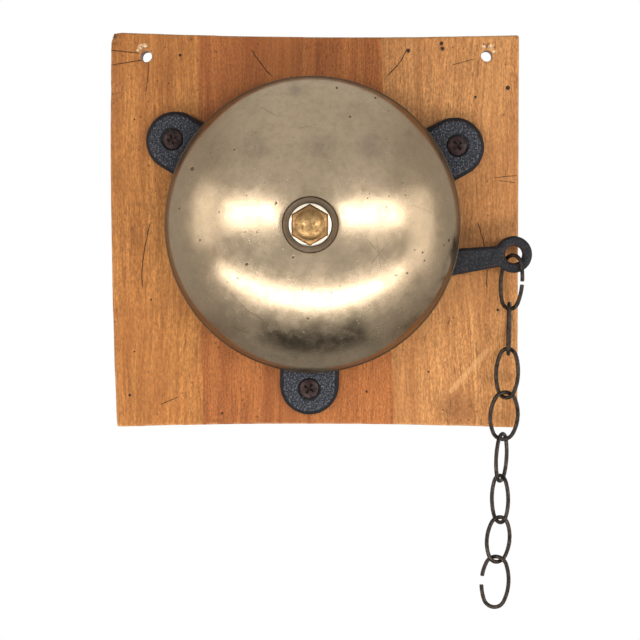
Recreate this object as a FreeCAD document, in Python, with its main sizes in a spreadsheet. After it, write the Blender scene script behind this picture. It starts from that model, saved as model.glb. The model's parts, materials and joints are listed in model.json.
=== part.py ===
import FreeCAD, Part
import math
import os
import Sketcher

Vector = FreeCAD.Vector
Placement = FreeCAD.Placement
Rotation = FreeCAD.Rotation

# Hand-pulled trip gong on a wooden board, in millimetres.
# +X is to the viewer's right, +Z is up and the front faces -Y.
# The origin lies midway between the two hanging holes, on the board's back face.

# Driving sizes: each goes into the sheet under its own name.
sizes = {
    # board
    "boardHeight": 272.2,
    "boardThick": 19.0,
    "boardTopRise": 14.2,
    "topLeftLift": 2.6,
    "edgeHollow": 2.4,
    "leftEdgeDraw": 2.7,
    "leftEdgeBow": 2.0,
    "leftGlueTop": -82.2,
    "leftGlueBottom": -78.8,
    "rightGlueTop": 45.0,
    "rightGlueBottom": 54.1,
    "hangingHalfSpacing": 118.0,
    "leftHoleInset": 24.2,
    "rightHoleInset": 22.3,
    "hangingHoleRadius": 4.0,
    # gong axis, from the origin
    "gongRight": -2.1,
    "gongDrop": 116.7,
    # gong
    "gongRadius": 101.6,
    "gongLipHeight": 18.0,
    "gongDepth": 59.0,
    "gongWall": 3.8,
    "crownRadius": 122.9,
    "shoulderRadius": 22.0,
    "gongWallAngle": 16.0,
    "lipBand": 2.4,
    "lipRounding": 0.5,
    "seatRadius": 18.5,
    "seatDepth": 1.2,
    "seatWall": 3.4,
    "gongHoleRadius": 6.6,
    # cast bracket
    "earHalfWidth": 20.5,
    "earReach": 132.0,
    "earRootReach": 40.0,
    "earThick": 8.0,
    "earBevel": 3.2,
    "earScrewCircle": 113.4,
    "earScrewHoleRadius": 3.6,
    "countersinkRadius": 7.5,
    "webRadius": 60.0,
    "webThick": 7.0,
    "pillarRadius": 12.0,
    "pivotBossRadius": 9.5,
    "stopPostRadius": 4.0,
    "bufferPostRadius": 3.5,
    "fingerHalfWidth": 7.0,
    "fingerRootReach": 31.0,
    "restStopSide": 44.0,
    "anchorSink": 5.0,
    # wood screws
    "screwHeadRadius": 6.6,
    "screwShankRadius": 3.1,
    "screwLength": 24.0,
    "screwTip": 6.0,
    "screwHeadLand": 0.4,
    "screwDomeHeight": 1.2,
    "recessWidth": 1.7,
    "recessSpan": 7.4,
    "recessDepth": 2.6,
    # centre fastening
    "studRadius": 6.0,
    "studEngagement": 22.0,
    "studChamfer": 1.0,
    "leatherRadius": 18.5,
    "leatherThick": 2.0,
    "collarRadius": 14.1,
    "collarThick": 2.5,
    "collarBevel": 1.1,
    "nutFlats": 23.8,
    "nutHexHeight": 10.5,
    "nutDomeRadius": 10.6,
    "nutDomeHeight": 4.6,
    "nutBoreDepth": 11.0,
    "nutCornerDrop": 1.5,
    "nutBaseChamfer": 0.9,
    "nutDomeStep": 0.4,
    # pull lever
    "leverBase": 9.5,
    "leverThick": 6.0,
    "leverBevel": 1.8,
    "leverTilt": 7.2,
    "leverPivotSide": -18.0,
    "leverHubRadius": 13.0,
    "leverKneeSide": 88.0,
    "leverKneeRadius": 9.6,
    "leverNeckSide": 129.0,
    "leverNeckRadius": 7.1,
    "eyeSide": 138.2,
    "eyeHeight": -20.4,
    "eyeRadius": 12.7,
    "eyeHoleRadius": 5.9,
    "eyeThick": 6.2,
    "eyeHoleBevel": 1.4,
    "eyeStep": 0.1,
    "eyeFrontBevel": 1.6,
    "eyeBackBevel": 1.0,
    "shortArmRadius": 8.0,
    "noseReach": 44.0,
    "noseLeadAngle": 4.0,
    "leverTravelAngle": 12.0,
    "dogStopRise": 6.0,
    "dogStopFoot": 1.0,
    # hammer
    "hammerPivotReach": 70.0,
    "hammerBase": 17.0,
    "hammerThick": 7.0,
    "hammerHubRadius": 10.0,
    "hammerArmHalfWidth": 6.0,
    "hammerBevel": 1.2,
    "tailReach": 45.8,
    "tailStandOff": 5.0,
    "scoopReach": 14.0,
    "hornReach": 20.0,
    "hornAngle": 97.0,
    "hornHalfWidth": 5.0,
    "hornPinRadius": 2.0,
    "hornPinHeight": 6.0,
    "headRadius": 8.5,
    "headHeight": 7.0,
    "headBevel": 1.5,
    "headAngle": 195.0,
    "strikeGap": 3.0,
    "headRivetRadius": 3.0,
    "rivetHeadRadius": 5.0,
    "rivetHeadThick": 1.2,
    "rivetHeadBevel": 0.6,
    "bufferThick": 3.0,
    "bufferAlong": 45.0,
    "bufferHeight": 6.0,
    # trip dog
    "dogHubRadius": 6.0,
    "dogNoseRadius": 4.0,
    "dogReach": 15.0,
    "dogPinRadius": 3.0,
    "dogPinNeck": 5.0,
    "dogPinHeadOver": 2.0,
    "dogPinHeadThick": 1.4,
    "dogPinHeadBevel": 0.6,
    "dogPushAngle": 13.5,
    "dogStopAlong": 4.5,
    "dogStopRadius": 2.5,
    "dogLugRadius": 1.2,
    "dogLugAlong": 9.0,
    # pivot screws and washers
    "shoulderScrewRadius": 5.0,
    "shoulderThreadRadius": 4.0,
    "shoulderThreadLength": 6.0,
    "shoulderHeadRadius": 8.0,
    "shoulderHeadThick": 3.6,
    "shoulderHeadBevel": 0.8,
    "slotWidth": 1.8,
    "slotDepth": 1.6,
    "pivotWasherRadius": 9.0,
    "pivotWasherThick": 0.8,
    # springs
    "leverSpringRadius": 10.5,
    "leverSpringWire": 1.6,
    "leverSpringPitch": 2.4,
    "leverLugRadius": 2.5,
    "leverLugAlong": 24.0,
    "leverLugHeight": 8.0,
    "leverSpringOverrun": 5.0,
    "dogSpringRadius": 4.0,
    "dogSpringWire": 0.9,
    "dogSpringPitch": 1.4,
    "dogSpringOverrun": 1.5,
    "hammerSpringRadius": 4.2,
    "hammerSpringWire": 1.2,
    "hammerSpringLead": 7.0,
    "hammerSpringDrop": 2.2,
    "hookGap": 0.4,
    "anchorSide": 14.0,
    "anchorHeight": 52.0,
    "anchorRadius": 2.5,
    "anchorPinRadius": 2.0,
    # chain
    "linkWire": 2.85,
    "linkWidth": 22.0,
    "linkLength": 35.3,
    "linkEndRadius": 7.6,
    "chainLevel": 12.5,
    "chainStartSide": 138.2,
    "chainStartHeight": -20.9,
    "linkGap": 0.8,
    # clearances
    "restGap": 0.3,
    "runFit": 0.05,
    "cutOver": 1.0,
}

earAngles = (148.7, 28.7, 268.7)

# One row per link, from the lever down: twist about the hanging line, lean to the left,
# side of the butt joint (1 right, -1 left), the opening left at the joint, and how much
# the link was made longer or shorter than the others.
chainPose = (
    (-44.0, -4.2, 1, 2.0, 4.6),
    (84.0, -0.8, -1, 0.5, 2.3),
    (138.0, -3.0, 1, 0.5, 1.4),
    (6.0, -3.7, 1, 0.5, 0.1),
    (64.0, -2.4, -1, 0.5, 0.1),
    (122.0, -0.6, -1, 0.5, 0.1),
    (31.0, -3.4, 1, 0.5, -1.2),
    (-17.0, -3.9, -1, 6.0, 2.8),
)

hammerSpringTurns = 16
coilTurns = 2
screwTurn = 20.0
slotTurn = 35.0

doc = FreeCAD.newDocument("trip_gong")
sheet = doc.addObject("Spreadsheet::Sheet", "dim")
for row, (alias, value) in enumerate(sizes.items(), start=1):
    sheet.set(f"A{row}", alias)
    sheet.set(f"B{row}", str(value))
    sheet.setAlias(f"B{row}", alias)
doc.recompute()


def amount(terms):
    # value in mm of a sum of size names and numbers, such as "studRadius + runFit"
    total = 0.0
    sign = 1.0
    for word in str(terms).split():
        if word in ("+", "-"):
            sign = 1.0 if word == "+" else -1.0
        else:
            total += sign * float(sheet.get(word) if word in sizes else word)
    return total


def bind(thing, path, terms):
    # ties a property or a sketch constraint to the sheet
    words = [f"dim.{word}" if word in sizes else word for word in str(terms).split()]
    thing.setExpression(path, " ".join(words))


def polar(degrees, reach):
    angle = math.radians(degrees)
    return Vector(reach * math.cos(angle), reach * math.sin(angle), 0)


def bearing(vector):
    return math.degrees(math.atan2(vector.y, vector.x))


def besideBar(first, firstRadius, last, lastRadius, along, stand, side):
    # point that stands off a bar's tangent flank, left (1) or right (-1) of its run
    run = last - first
    narrowing = math.asin((firstRadius - lastRadius) / run.Length)
    way = polar(bearing(run), 1.0)
    out = polar(bearing(run) + 90 * side, 1.0)
    halfWidth = (firstRadius - along * math.sin(narrowing)) / math.cos(narrowing)
    flankOut = way * math.sin(narrowing) + out * math.cos(narrowing)
    return first + way * along + out * halfWidth + flankOut * stand


def domeBow(radius, height):
    # point halfway in on a round dome of this foot radius and height
    ball = (radius ** 2 + height ** 2) / (2 * height)
    return Vector(radius / 2, math.sqrt(ball ** 2 - radius ** 2 / 4) - ball + height, 0)


# Pieces on the front are laid out on the board's face: u to the right and v up from the
# gong axis, w outward from the face.
boardFace = Placement(Vector(0, -amount("boardThick"), 0), Rotation(Vector(1, 0, 0), 90))
gongFace = boardFace.multiply(
    Placement(Vector(amount("gongRight"), -amount("gongDrop"), 0), Rotation())
)


def put(thing, spot=Vector(0, 0, 0), level="0", turn=0.0, face=gongFace):
    seat = Placement(Vector(spot.x, spot.y, amount(level)), Rotation(Vector(0, 0, 1), turn))
    thing.Placement = face.multiply(seat)
    return thing


def newBody(label, spot=Vector(0, 0, 0), level="0", turn=0.0, face=gongFace):
    body = doc.addObject("PartDesign::Body", label)
    body.Label = label
    return put(body, spot, level, turn, face)


def newSketch(body, role):
    sketch = body.newObject("Sketcher::SketchObject", body.Label + "_outline")
    plane = next(part for part in body.Origin.OriginFeatures if part.Role == role)
    sketch.AttachmentSupport = [(plane, "")]
    sketch.MapMode = "FlatFace"
    return sketch


def lock(sketch, kind, geometry, position, terms):
    # holds one coordinate of a point; a zero lies on the sketch's own axis
    if str(terms) == "0":
        axis = -2 if kind == "DistanceX" else -1
        sketch.addConstraint(Sketcher.Constraint("PointOnObject", geometry, position, axis))
        return
    rule = Sketcher.Constraint(kind, -1, 1, geometry, position, amount(terms))
    index = sketch.addConstraint(rule)
    bind(sketch, f"Constraints[{index}]", terms)


def outline(sketch, corners, bows=None):
    # closed outline through corners; bows maps a side's number to a point on its arc
    bows = bows or {}
    spots = [Vector(amount(x), amount(y), 0) for x, y in corners]
    count = len(spots)
    starts = []
    ends = []
    for side in range(count):
        first = spots[side]
        last = spots[(side + 1) % count]
        if side not in bows:
            sketch.addGeometry(Part.LineSegment(first, last), False)
            starts.append(1)
            ends.append(2)
            continue
        middle = bows[side]
        sketch.addGeometry(Part.Arc(first, middle, last), False)
        leftTurn = (middle - first).cross(last - middle).z > 0
        starts.append(1 if leftTurn else 2)
        ends.append(2 if leftTurn else 1)
    for side in range(count):
        following = (side + 1) % count
        sketch.addConstraint(
            Sketcher.Constraint("Coincident", side, ends[side], following, starts[following])
        )
    for side, (x, y) in enumerate(corners):
        lock(sketch, "DistanceX", side, starts[side], x)
        lock(sketch, "DistanceY", side, starts[side], y)
    for side in bows:
        radius = sketch.Geometry[side].Radius
        sketch.addConstraint(Sketcher.Constraint("Radius", side, radius))
    return sketch


def pad(body, sketch, length):
    feature = body.newObject("PartDesign::Pad", body.Label + "_pad")
    feature.Profile = sketch
    bind(feature, "Length", length)
    return feature


def frontEdges(feature, height):
    names = []
    for number, edge in enumerate(feature.Shape.Edges, start=1):
        if all(abs(vertex.Z - height) < 1e-6 for vertex in edge.Vertexes):
            names.append(f"Edge{number}")
    return names


def bar(label, first, firstRadius, last, lastRadius, base, thick, bevel=None):
    # a flat bar with two round ends, tangent sides and a bevelled front edge
    run = last - first
    body = newBody(label, first, base, bearing(run))
    sketch = newSketch(body, "XY_Plane")
    near = amount(firstRadius)
    far = amount(lastRadius)
    spread = math.acos((near - far) / run.Length)
    centre = Vector(run.Length, 0, 0)
    up = Vector(math.cos(spread), math.sin(spread), 0)
    down = Vector(math.cos(spread), -math.sin(spread), 0)
    axis = Vector(0, 0, 1)
    nearCircle = Part.Circle(Vector(0, 0, 0), axis, near)
    farCircle = Part.Circle(centre, axis, far)
    sketch.addGeometry(Part.ArcOfCircle(nearCircle, spread, 2 * math.pi - spread), False)
    sketch.addGeometry(Part.LineSegment(down * near, centre + down * far), False)
    sketch.addGeometry(Part.ArcOfCircle(farCircle, -spread, spread), False)
    sketch.addGeometry(Part.LineSegment(centre + up * far, up * near), False)
    for side in range(4):
        sketch.addConstraint(Sketcher.Constraint("Tangent", side, 2, (side + 1) % 4, 1))
    sketch.addConstraint(Sketcher.Constraint("Coincident", 0, 3, -1, 1))
    sketch.addConstraint(Sketcher.Constraint("PointOnObject", 2, 3, -1))
    sketch.addConstraint(Sketcher.Constraint("DistanceX", -1, 1, 2, 3, run.Length))
    for side, radius in ((0, firstRadius), (2, lastRadius)):
        index = sketch.addConstraint(Sketcher.Constraint("Radius", side, amount(radius)))
        bind(sketch, f"Constraints[{index}]", radius)
    block = pad(body, sketch, thick)
    doc.recompute()
    if bevel:
        edge = body.newObject("PartDesign::Chamfer", label + "_bevel")
        edge.Base = (block, frontEdges(block, amount(thick)))
        bind(edge, "Size", bevel)
        doc.recompute()
    return body


def turned(label, corners, spot=Vector(0, 0, 0), level="0", bows=None):
    # a turned piece: corners are radius and height along its own axis
    body = newBody(label, spot, level)
    sketch = outline(newSketch(body, "XZ_Plane"), corners, bows)
    feature = body.newObject("PartDesign::Revolution", label + "_turned")
    feature.Profile = sketch
    feature.ReferenceAxis = (sketch, ["V_Axis"])
    feature.Angle = 360
    doc.recompute()
    return body


def cylinder(label, spot, base, radius, height, face=gongFace):
    rod = doc.addObject("Part::Cylinder", label)
    bind(rod, "Radius", radius)
    bind(rod, "Height", height)
    return put(rod, spot, base, 0.0, face)


def cone(label, spot, base, lowRadius, highRadius, height):
    taper = doc.addObject("Part::Cone", label)
    bind(taper, "Radius1", lowRadius)
    bind(taper, "Radius2", highRadius)
    bind(taper, "Height", height)
    return put(taper, spot, base)


def block(label, spot, base, length, width, height, turn=0.0):
    # a box centred on its spot
    box = doc.addObject("Part::Box", label)
    bind(box, "Length", length)
    bind(box, "Width", width)
    bind(box, "Height", height)
    put(box, spot, base, turn)
    shift = Placement(Vector(-amount(length) / 2, -amount(width) / 2, 0), Rotation())
    box.Placement = box.Placement.multiply(shift)
    return box


def fuse(label, pieces):
    whole = doc.addObject("Part::MultiFuse", label)
    whole.Label = label
    whole.Shapes = pieces
    whole.Refine = False
    return whole


def cut(label, base, tools):
    result = doc.addObject("Part::Cut", label)
    result.Label = label
    result.Base = base
    result.Tool = tools[0] if len(tools) == 1 else fuse(label + "_tools", tools)
    return result


nodes = []


def keep(piece):
    nodes.append(piece)
    return piece


# Levels along the gong axis, from the board's face
leverTop = "leverBase + leverThick"
hammerTop = "hammerBase + hammerThick"
crownTop = "gongLipHeight + gongDepth"
seatFace = crownTop + " - seatDepth"
innerSeat = seatFace + " - seatWall"
pillarTop = innerSeat + " - leatherThick"
centre = Vector(0, 0, 0)

# Places of the moving parts, in u and v
eyeSpot = Vector(amount("eyeSide"), amount("eyeHeight"), 0)
leverRise = math.tan(math.radians(amount("leverTilt")))


def onLever(side):
    return Vector(side, eyeSpot.y + (side - eyeSpot.x) * leverRise, 0)


leverPivot = onLever(amount("leverPivotSide"))
hammerPivot = polar(earAngles[0], amount("hammerPivotReach"))
pivotLine = bearing(hammerPivot - leverPivot)
noseSpot = leverPivot + polar(pivotLine + amount("noseLeadAngle"), amount("noseReach"))


def turnAbout(point, pivot, degrees):
    return pivot + Rotation(Vector(0, 0, 1), degrees).multVec(point - pivot)


# The dog is a strut: its pivot lies behind the nose on the line of the push.
pushAngle = bearing(noseSpot - leverPivot) - 90 - amount("dogPushAngle")
dogPivot = noseSpot - polar(pushAngle, amount("dogReach"))

# Hammer head: its far side stays the strike gap short of the line of the gong's inner wall,
# which leaves room for the roll above it.
wallLean = math.radians(amount("gongWallAngle"))
headTop = amount(hammerTop + " + headHeight")
wallAtHead = (amount("gongRadius") - amount("gongWall") / math.cos(wallLean)
              - (headTop - amount("gongLipHeight")) * math.tan(wallLean))
headSpot = polar(amount("headAngle"), wallAtHead - amount("strikeGap + headRadius"))

# Tail of the hammer: it hangs beside the nose, and its flank is scooped to clear the push.
noseSpan = amount("dogNoseRadius + restGap")
tailAim = noseSpot + polar(pushAngle, noseSpan + amount("tailStandOff"))
tailAngle = bearing(tailAim - hammerPivot)
tailSpot = hammerPivot + polar(tailAngle, amount("tailReach"))
hornSpot = hammerPivot + polar(amount("hornAngle"), amount("hornReach"))
anchorSpot = Vector(amount("anchorSide"), amount("anchorHeight"), 0)

# Buffer post beside the hammer arm
armHalfWidth = amount("hammerArmHalfWidth")
bufferSpot = besideBar(hammerPivot, armHalfWidth, headSpot, armHalfWidth, amount("bufferAlong"),
                       amount("restGap + bufferPostRadius + bufferThick"), -1)

# Dog's stop post on the lever, above the dog's bar
dogStopSpot = besideBar(dogPivot, amount("dogHubRadius"), noseSpot, amount("dogNoseRadius"),
                        amount("dogStopAlong"), amount("dogStopRadius + restGap"), 1)

# Board: one blank, cut into three staves along the glue lines
left = "0 - hangingHalfSpacing - leftHoleInset"
right = "hangingHalfSpacing + rightHoleInset"
top = "boardTopRise"
bottom = "boardTopRise - boardHeight"
lowLeftCorner = left + " + leftEdgeDraw"
highLeftCorner = "boardTopRise + topLeftLift"
middleSide = (amount(left) + amount(right)) / 2
middleTop = (amount(top) + amount(highLeftCorner)) / 2
hollow = amount("edgeHollow")
blankBody = newBody("board_blank", face=boardFace)
blankSketch = outline(
    newSketch(blankBody, "XY_Plane"),
    ((lowLeftCorner, bottom), (right, bottom), (right, top), (left, highLeftCorner)),
    {0: Vector(middleSide, amount(bottom) + hollow, 0),
     2: Vector(middleSide, middleTop - hollow, 0),
     3: Vector((amount(left) + amount(lowLeftCorner)) / 2 - amount("leftEdgeBow"),
               (amount(highLeftCorner) + amount(bottom)) / 2, 0)},
)
pad(blankBody, blankSketch, "boardThick")
blankBody.Placement = Placement(Vector(0, 0, 0), boardFace.Rotation)

screwSpots = [polar(angle, amount("earScrewCircle")) for angle in earAngles]
pilotDepth = "screwLength - earThick + restGap"
pilotBase = "earThick - screwLength - restGap"
boardHoles = []
for side, name in ((-1, "left"), (1, "right")):
    spot = Vector(side * amount("hangingHalfSpacing"), 0, 0)
    boardHoles.append(cylinder(f"{name}_hanging_hole", spot, "0 - boardThick",
                               "hangingHoleRadius", "boardThick", boardFace))
for number, spot in enumerate(screwSpots, start=1):
    boardHoles.append(cylinder(f"pilot_hole_{number}", spot, pilotBase,
                               "screwShankRadius + runFit", pilotDepth))
drilledBoard = cut("drilled_board", blankBody, boardHoles)

glueMargin = 10.0


def glueLine(topName, bottomName, height):
    share = (amount(top) - height) / amount("boardHeight")
    return amount(topName) + (amount(bottomName) - amount(topName)) * share


highCut = amount(top) + glueMargin
lowCut = amount(bottom) - glueMargin
leftCut = amount(left) - glueMargin
rightCut = amount(right) + glueMargin
glueEnds = [
    (leftCut, leftCut),
    (glueLine("leftGlueTop", "leftGlueBottom", highCut),
     glueLine("leftGlueTop", "leftGlueBottom", lowCut)),
    (glueLine("rightGlueTop", "rightGlueBottom", highCut),
     glueLine("rightGlueTop", "rightGlueBottom", lowCut)),
    (rightCut, rightCut),
]
staveNames = ("left", "middle", "right")
for name, leftLine, rightLine in zip(staveNames, glueEnds[:3], glueEnds[1:]):
    highLeft, lowLeft = leftLine
    highRight, lowRight = rightLine
    plank = newBody(f"{name}_plank", face=boardFace)
    plank.Placement = blankBody.Placement
    plankSketch = outline(
        newSketch(plank, "XY_Plane"),
        ((lowLeft, lowCut), (lowRight, lowCut), (highRight, highCut), (highLeft, highCut)),
    )
    pad(plank, plankSketch, "boardThick")
    stave = doc.addObject("Part::MultiCommon", f"stave_{name}")
    stave.Shapes = [drilledBoard, plank]
    keep(stave)

# Cast bracket: three ears, a web under the gong, the pillar, pivot bosses and stop posts
castings = [cylinder("web", centre, "0", "webRadius", "webThick"),
            cylinder("pillar", centre, "0", "pillarRadius", pillarTop)]
earEnd = "earReach - earHalfWidth"
for number, angle in enumerate(earAngles, start=1):
    castings.append(bar(f"ear_{number}", polar(angle, amount("earRootReach")), "earHalfWidth",
                        polar(angle, amount(earEnd)), "earHalfWidth", "0", "earThick",
                        "earBevel"))
washerSeat = " - pivotWasherThick - restGap"
castings.append(cylinder("lever_boss", leverPivot, "0", "pivotBossRadius",
                         "leverBase" + washerSeat))
castings.append(cylinder("hammer_boss", hammerPivot, "0", "pivotBossRadius",
                         "hammerBase" + washerSeat))
fingerRoot = polar(bearing(bufferSpot), amount("fingerRootReach"))
castings.append(bar("buffer_finger", fingerRoot, "fingerHalfWidth", bufferSpot,
                    "fingerHalfWidth", "0", "webThick"))
castings.append(cylinder("buffer_post", bufferSpot, "0", "bufferPostRadius", hammerTop))
leverKnee = onLever(amount("leverKneeSide"))
restStopAlong = (onLever(amount("restStopSide")) - leverPivot).Length
restStop = besideBar(leverPivot, amount("leverHubRadius"), leverKnee, amount("leverKneeRadius"),
                     restStopAlong, amount("restGap + stopPostRadius"), 1)
castings.append(cylinder("lever_rest_stop", restStop, "0", "stopPostRadius", leverTop))
rawBracket = fuse("bracket_casting", castings)
bracketHoles = [cylinder("stud_bore", centre, pillarTop + " - studEngagement",
                         "studRadius + runFit", "studEngagement"),
                cylinder("anchor_bore", anchorSpot, "webThick - anchorSink",
                         "anchorRadius + runFit", "anchorSink")]
for name, pivot, base in (("lever", leverPivot, "leverBase"),
                          ("hammer", hammerPivot, "hammerBase")):
    threadFoot = base + washerSeat + " - shoulderThreadLength"
    bracketHoles.append(cylinder(f"{name}_thread", pivot, threadFoot,
                                 "shoulderThreadRadius + runFit", "shoulderThreadLength"))
sinkDepth = "countersinkRadius - earScrewHoleRadius"
sinkBase = "earThick - countersinkRadius + earScrewHoleRadius"
for number, spot in enumerate(screwSpots, start=1):
    bracketHoles.append(cylinder(f"ear_hole_{number}", spot, "0", "earScrewHoleRadius",
                                 "earThick"))
    bracketHoles.append(cone(f"countersink_{number}", spot, sinkBase, "earScrewHoleRadius",
                             "countersinkRadius", sinkDepth))
keep(cut("base_bracket", rawBracket, bracketHoles))

# Wood screws: raised countersunk heads with a cross recess
screws = []
screwFoot = "earThick - screwLength"
headFoot = "earThick - screwHeadLand"
screwCorners = (
    ("0", screwFoot), ("screwShankRadius", screwFoot + " + screwTip"),
    ("screwShankRadius", headFoot + " - screwHeadRadius + screwShankRadius"),
    ("screwHeadRadius", headFoot), ("screwHeadRadius", "earThick"),
    ("0", "earThick + screwDomeHeight"),
)
headBow = (domeBow(amount("screwHeadRadius"), amount("screwDomeHeight"))
           + Vector(0, amount("earThick"), 0))
for number, spot in enumerate(screwSpots, start=1):
    shank = turned(f"screw_blank_{number}", screwCorners, spot, bows={4: headBow})
    recess = []
    for turn in (0, 90):
        recess.append(block(f"recess_{number}_{turn}", spot,
                            "earThick + screwDomeHeight - recessDepth", "recessSpan",
                            "recessWidth", "recessDepth + cutOver", turn + screwTurn * number))
    screws.append(cut(f"screw_{number}", shank, recess))
keep(fuse("bracket_screws", screws))

# Gong: crown arc, shoulder arc and leaning wall, inside and outside from the same centres
lipPoint = Vector(amount("gongRadius"), amount("gongLipHeight"), 0)
wallOut = Vector(math.cos(wallLean), math.sin(wallLean), 0)
wallUp = Vector(-math.sin(wallLean), math.cos(wallLean), 0)
crownCentre = Vector(0, amount(crownTop) - amount("crownRadius"), 0)
offset = lipPoint - wallOut * amount("shoulderRadius") - crownCentre
reach = amount("crownRadius - shoulderRadius")
along = offset.dot(wallUp)
shoulderCentre = crownCentre + offset + wallUp * (
    math.sqrt(along ** 2 - offset.Length ** 2 + reach ** 2) - along)
crownOut = (shoulderCentre - crownCentre).normalize()


def gongSkin(depth, seat):
    # lip, wall top, shoulder middle, shoulder end, crown middle and the rim of the seat
    shoulder = amount("shoulderRadius") - depth
    crown = amount("crownRadius") - depth
    wallTop = shoulderCentre + wallOut * shoulder
    lip = wallTop - wallUp * ((wallTop.y - lipPoint.y) / wallUp.y)
    shoulderMiddle = shoulderCentre + (wallOut + crownOut).normalize() * shoulder
    crownEnd = crownCentre + crownOut * crown
    half = (crownEnd.x + seat) / 2
    crownMiddle = Vector(half, crownCentre.y + math.sqrt(crown ** 2 - half ** 2), 0)
    seatRim = Vector(seat, crownCentre.y + math.sqrt(crown ** 2 - seat ** 2), 0)
    return lip, wallTop, shoulderMiddle, crownEnd, crownMiddle, seatRim


outerSkin = gongSkin(0.0, amount("seatRadius"))
innerSkin = gongSkin(amount("gongWall"), amount("seatRadius"))
lipShelf = lipPoint + wallUp * (amount("lipBand") / wallUp.y)


def cornerOf(point):
    return (str(point.x), str(point.y))


gongCorners = (
    cornerOf(innerSkin[0]), ("gongRadius", "gongLipHeight"),
    ("gongRadius", "gongLipHeight + lipBand"), cornerOf(lipShelf), cornerOf(outerSkin[1]),
    cornerOf(outerSkin[3]), ("seatRadius", str(outerSkin[5].y)), ("seatRadius", seatFace),
    ("gongHoleRadius", seatFace), ("gongHoleRadius", innerSeat), ("seatRadius", innerSeat),
    ("seatRadius", str(innerSkin[5].y)), cornerOf(innerSkin[3]), cornerOf(innerSkin[1]),
)
outerBow = gongCorners.index(cornerOf(outerSkin[1]))
innerBow = gongCorners.index(cornerOf(innerSkin[3])) - 1
gongBody = turned("gong", gongCorners, bows={
    outerBow: outerSkin[2], outerBow + 1: outerSkin[4], innerBow: innerSkin[4], innerBow + 1: innerSkin[2]})
gongTurning = gongBody.Tip
lipEdges = (frontEdges(gongTurning, amount("gongLipHeight"))
            + frontEdges(gongTurning, amount("gongLipHeight + lipBand"))[:1])
lipFillet = gongBody.newObject("PartDesign::Fillet", "gong_lip")
lipFillet.Base = (gongTurning, lipEdges)
bind(lipFillet, "Radius", "lipRounding")
keep(gongBody)

# Centre fastening: leather seat, stud, bevelled collar and domed hexagonal nut
keep(turned("seat_washer", (
    ("gongHoleRadius", "0"), ("leatherRadius", "0"), ("leatherRadius", "leatherThick"),
    ("gongHoleRadius", "leatherThick")), level=pillarTop))
studLength = "studEngagement + leatherThick + seatWall + collarThick + nutBoreDepth"
keep(turned("gong_stud", (
    ("0", "restGap"), ("studRadius - studChamfer", "restGap"),
    ("studRadius", "restGap + studChamfer"),
    ("studRadius", studLength + " - restGap - studChamfer"),
    ("studRadius - studChamfer", studLength + " - restGap"),
    ("0", studLength + " - restGap")), level=pillarTop + " - studEngagement"))
keep(turned("cap_washer", (
    ("gongHoleRadius", "0"), ("collarRadius", "0"),
    ("collarRadius", "collarThick - collarBevel"), ("collarRadius - collarBevel", "collarThick"),
    ("gongHoleRadius", "collarThick")), level=seatFace))
nutBase = seatFace + " + collarThick"
hexagon = doc.addObject("Part::Prism", "nut_hexagon")
hexagon.Polygon = 6
hexagon.setExpression("Circumradius", "dim.nutFlats / sqrt(3)")
bind(hexagon, "Height", "nutHexHeight")
put(hexagon, centre, nutBase, 30.0)
nutCorner = str(amount("nutFlats") / math.sqrt(3))
nutTurning = turned("nut_turning", (
    ("0", "0"), (nutCorner + " - nutBaseChamfer", "0"), (nutCorner, "nutBaseChamfer"),
    (nutCorner, "nutHexHeight - nutCornerDrop"), ("nutDomeRadius", "nutHexHeight"),
    ("0", "nutHexHeight")), level=nutBase)
chamferedHexagon = doc.addObject("Part::MultiCommon", "chamfered_hexagon")
chamferedHexagon.Shapes = [hexagon, nutTurning]
dome = turned("nut_dome", (
    ("0", "0"), ("nutDomeRadius - nutDomeStep", "0"), ("0", "nutDomeHeight")),
    level=nutBase + " + nutHexHeight",
    bows={1: domeBow(amount("nutDomeRadius - nutDomeStep"), amount("nutDomeHeight"))})
nutBore = cylinder("nut_bore", centre, nutBase, "studRadius + runFit", "nutBoreDepth")
keep(cut("cap_nut", fuse("nut_solid", [chamferedHexagon, dome]), [nutBore]))

# Pull lever: hub, tapered arm, ring end, short arm to the dog, spring lug and dog stop
lugInset = (amount("leverSpringRadius - restGap - leverLugRadius")
            - amount("leverSpringWire") / 2)
leverLugSpot = (leverPivot + polar(amount("leverTilt"), amount("leverLugAlong"))
                + polar(amount("leverTilt") - 90, lugInset))
leverCasting = fuse("lever_casting", [
    bar("lever_inner_arm", leverPivot, "leverHubRadius", leverKnee, "leverKneeRadius",
        "leverBase", "leverThick", "leverBevel"),
    bar("lever_outer_arm", leverKnee, "leverKneeRadius", onLever(amount("leverNeckSide")),
        "leverNeckRadius", "leverBase", "leverThick", "leverBevel"),
    turned("lever_ring", (
        ("0", "0"), ("eyeRadius - eyeBackBevel", "0"), ("eyeRadius", "eyeBackBevel"),
        ("eyeRadius", "eyeThick - eyeFrontBevel"), ("eyeRadius - eyeFrontBevel", "eyeThick"),
        ("0", "eyeThick")), eyeSpot, "leverBase - eyeStep"),
    bar("lever_short_arm", leverPivot, "leverHubRadius", dogPivot, "shortArmRadius",
        "leverBase", "leverThick", "leverBevel"),
    bar("dog_stop_bridge", dogPivot, "shortArmRadius", dogStopSpot,
        "dogStopRadius + dogStopFoot", "leverBase", "leverThick"),
    cylinder("dog_stop_post", dogStopSpot, "leverBase", "dogStopRadius",
             "leverThick + hammerThick + dogStopRise"),
    cylinder("lever_spring_lug", leverLugSpot, "leverBase", "leverLugRadius",
             "leverThick + leverLugHeight"),
])
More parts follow.
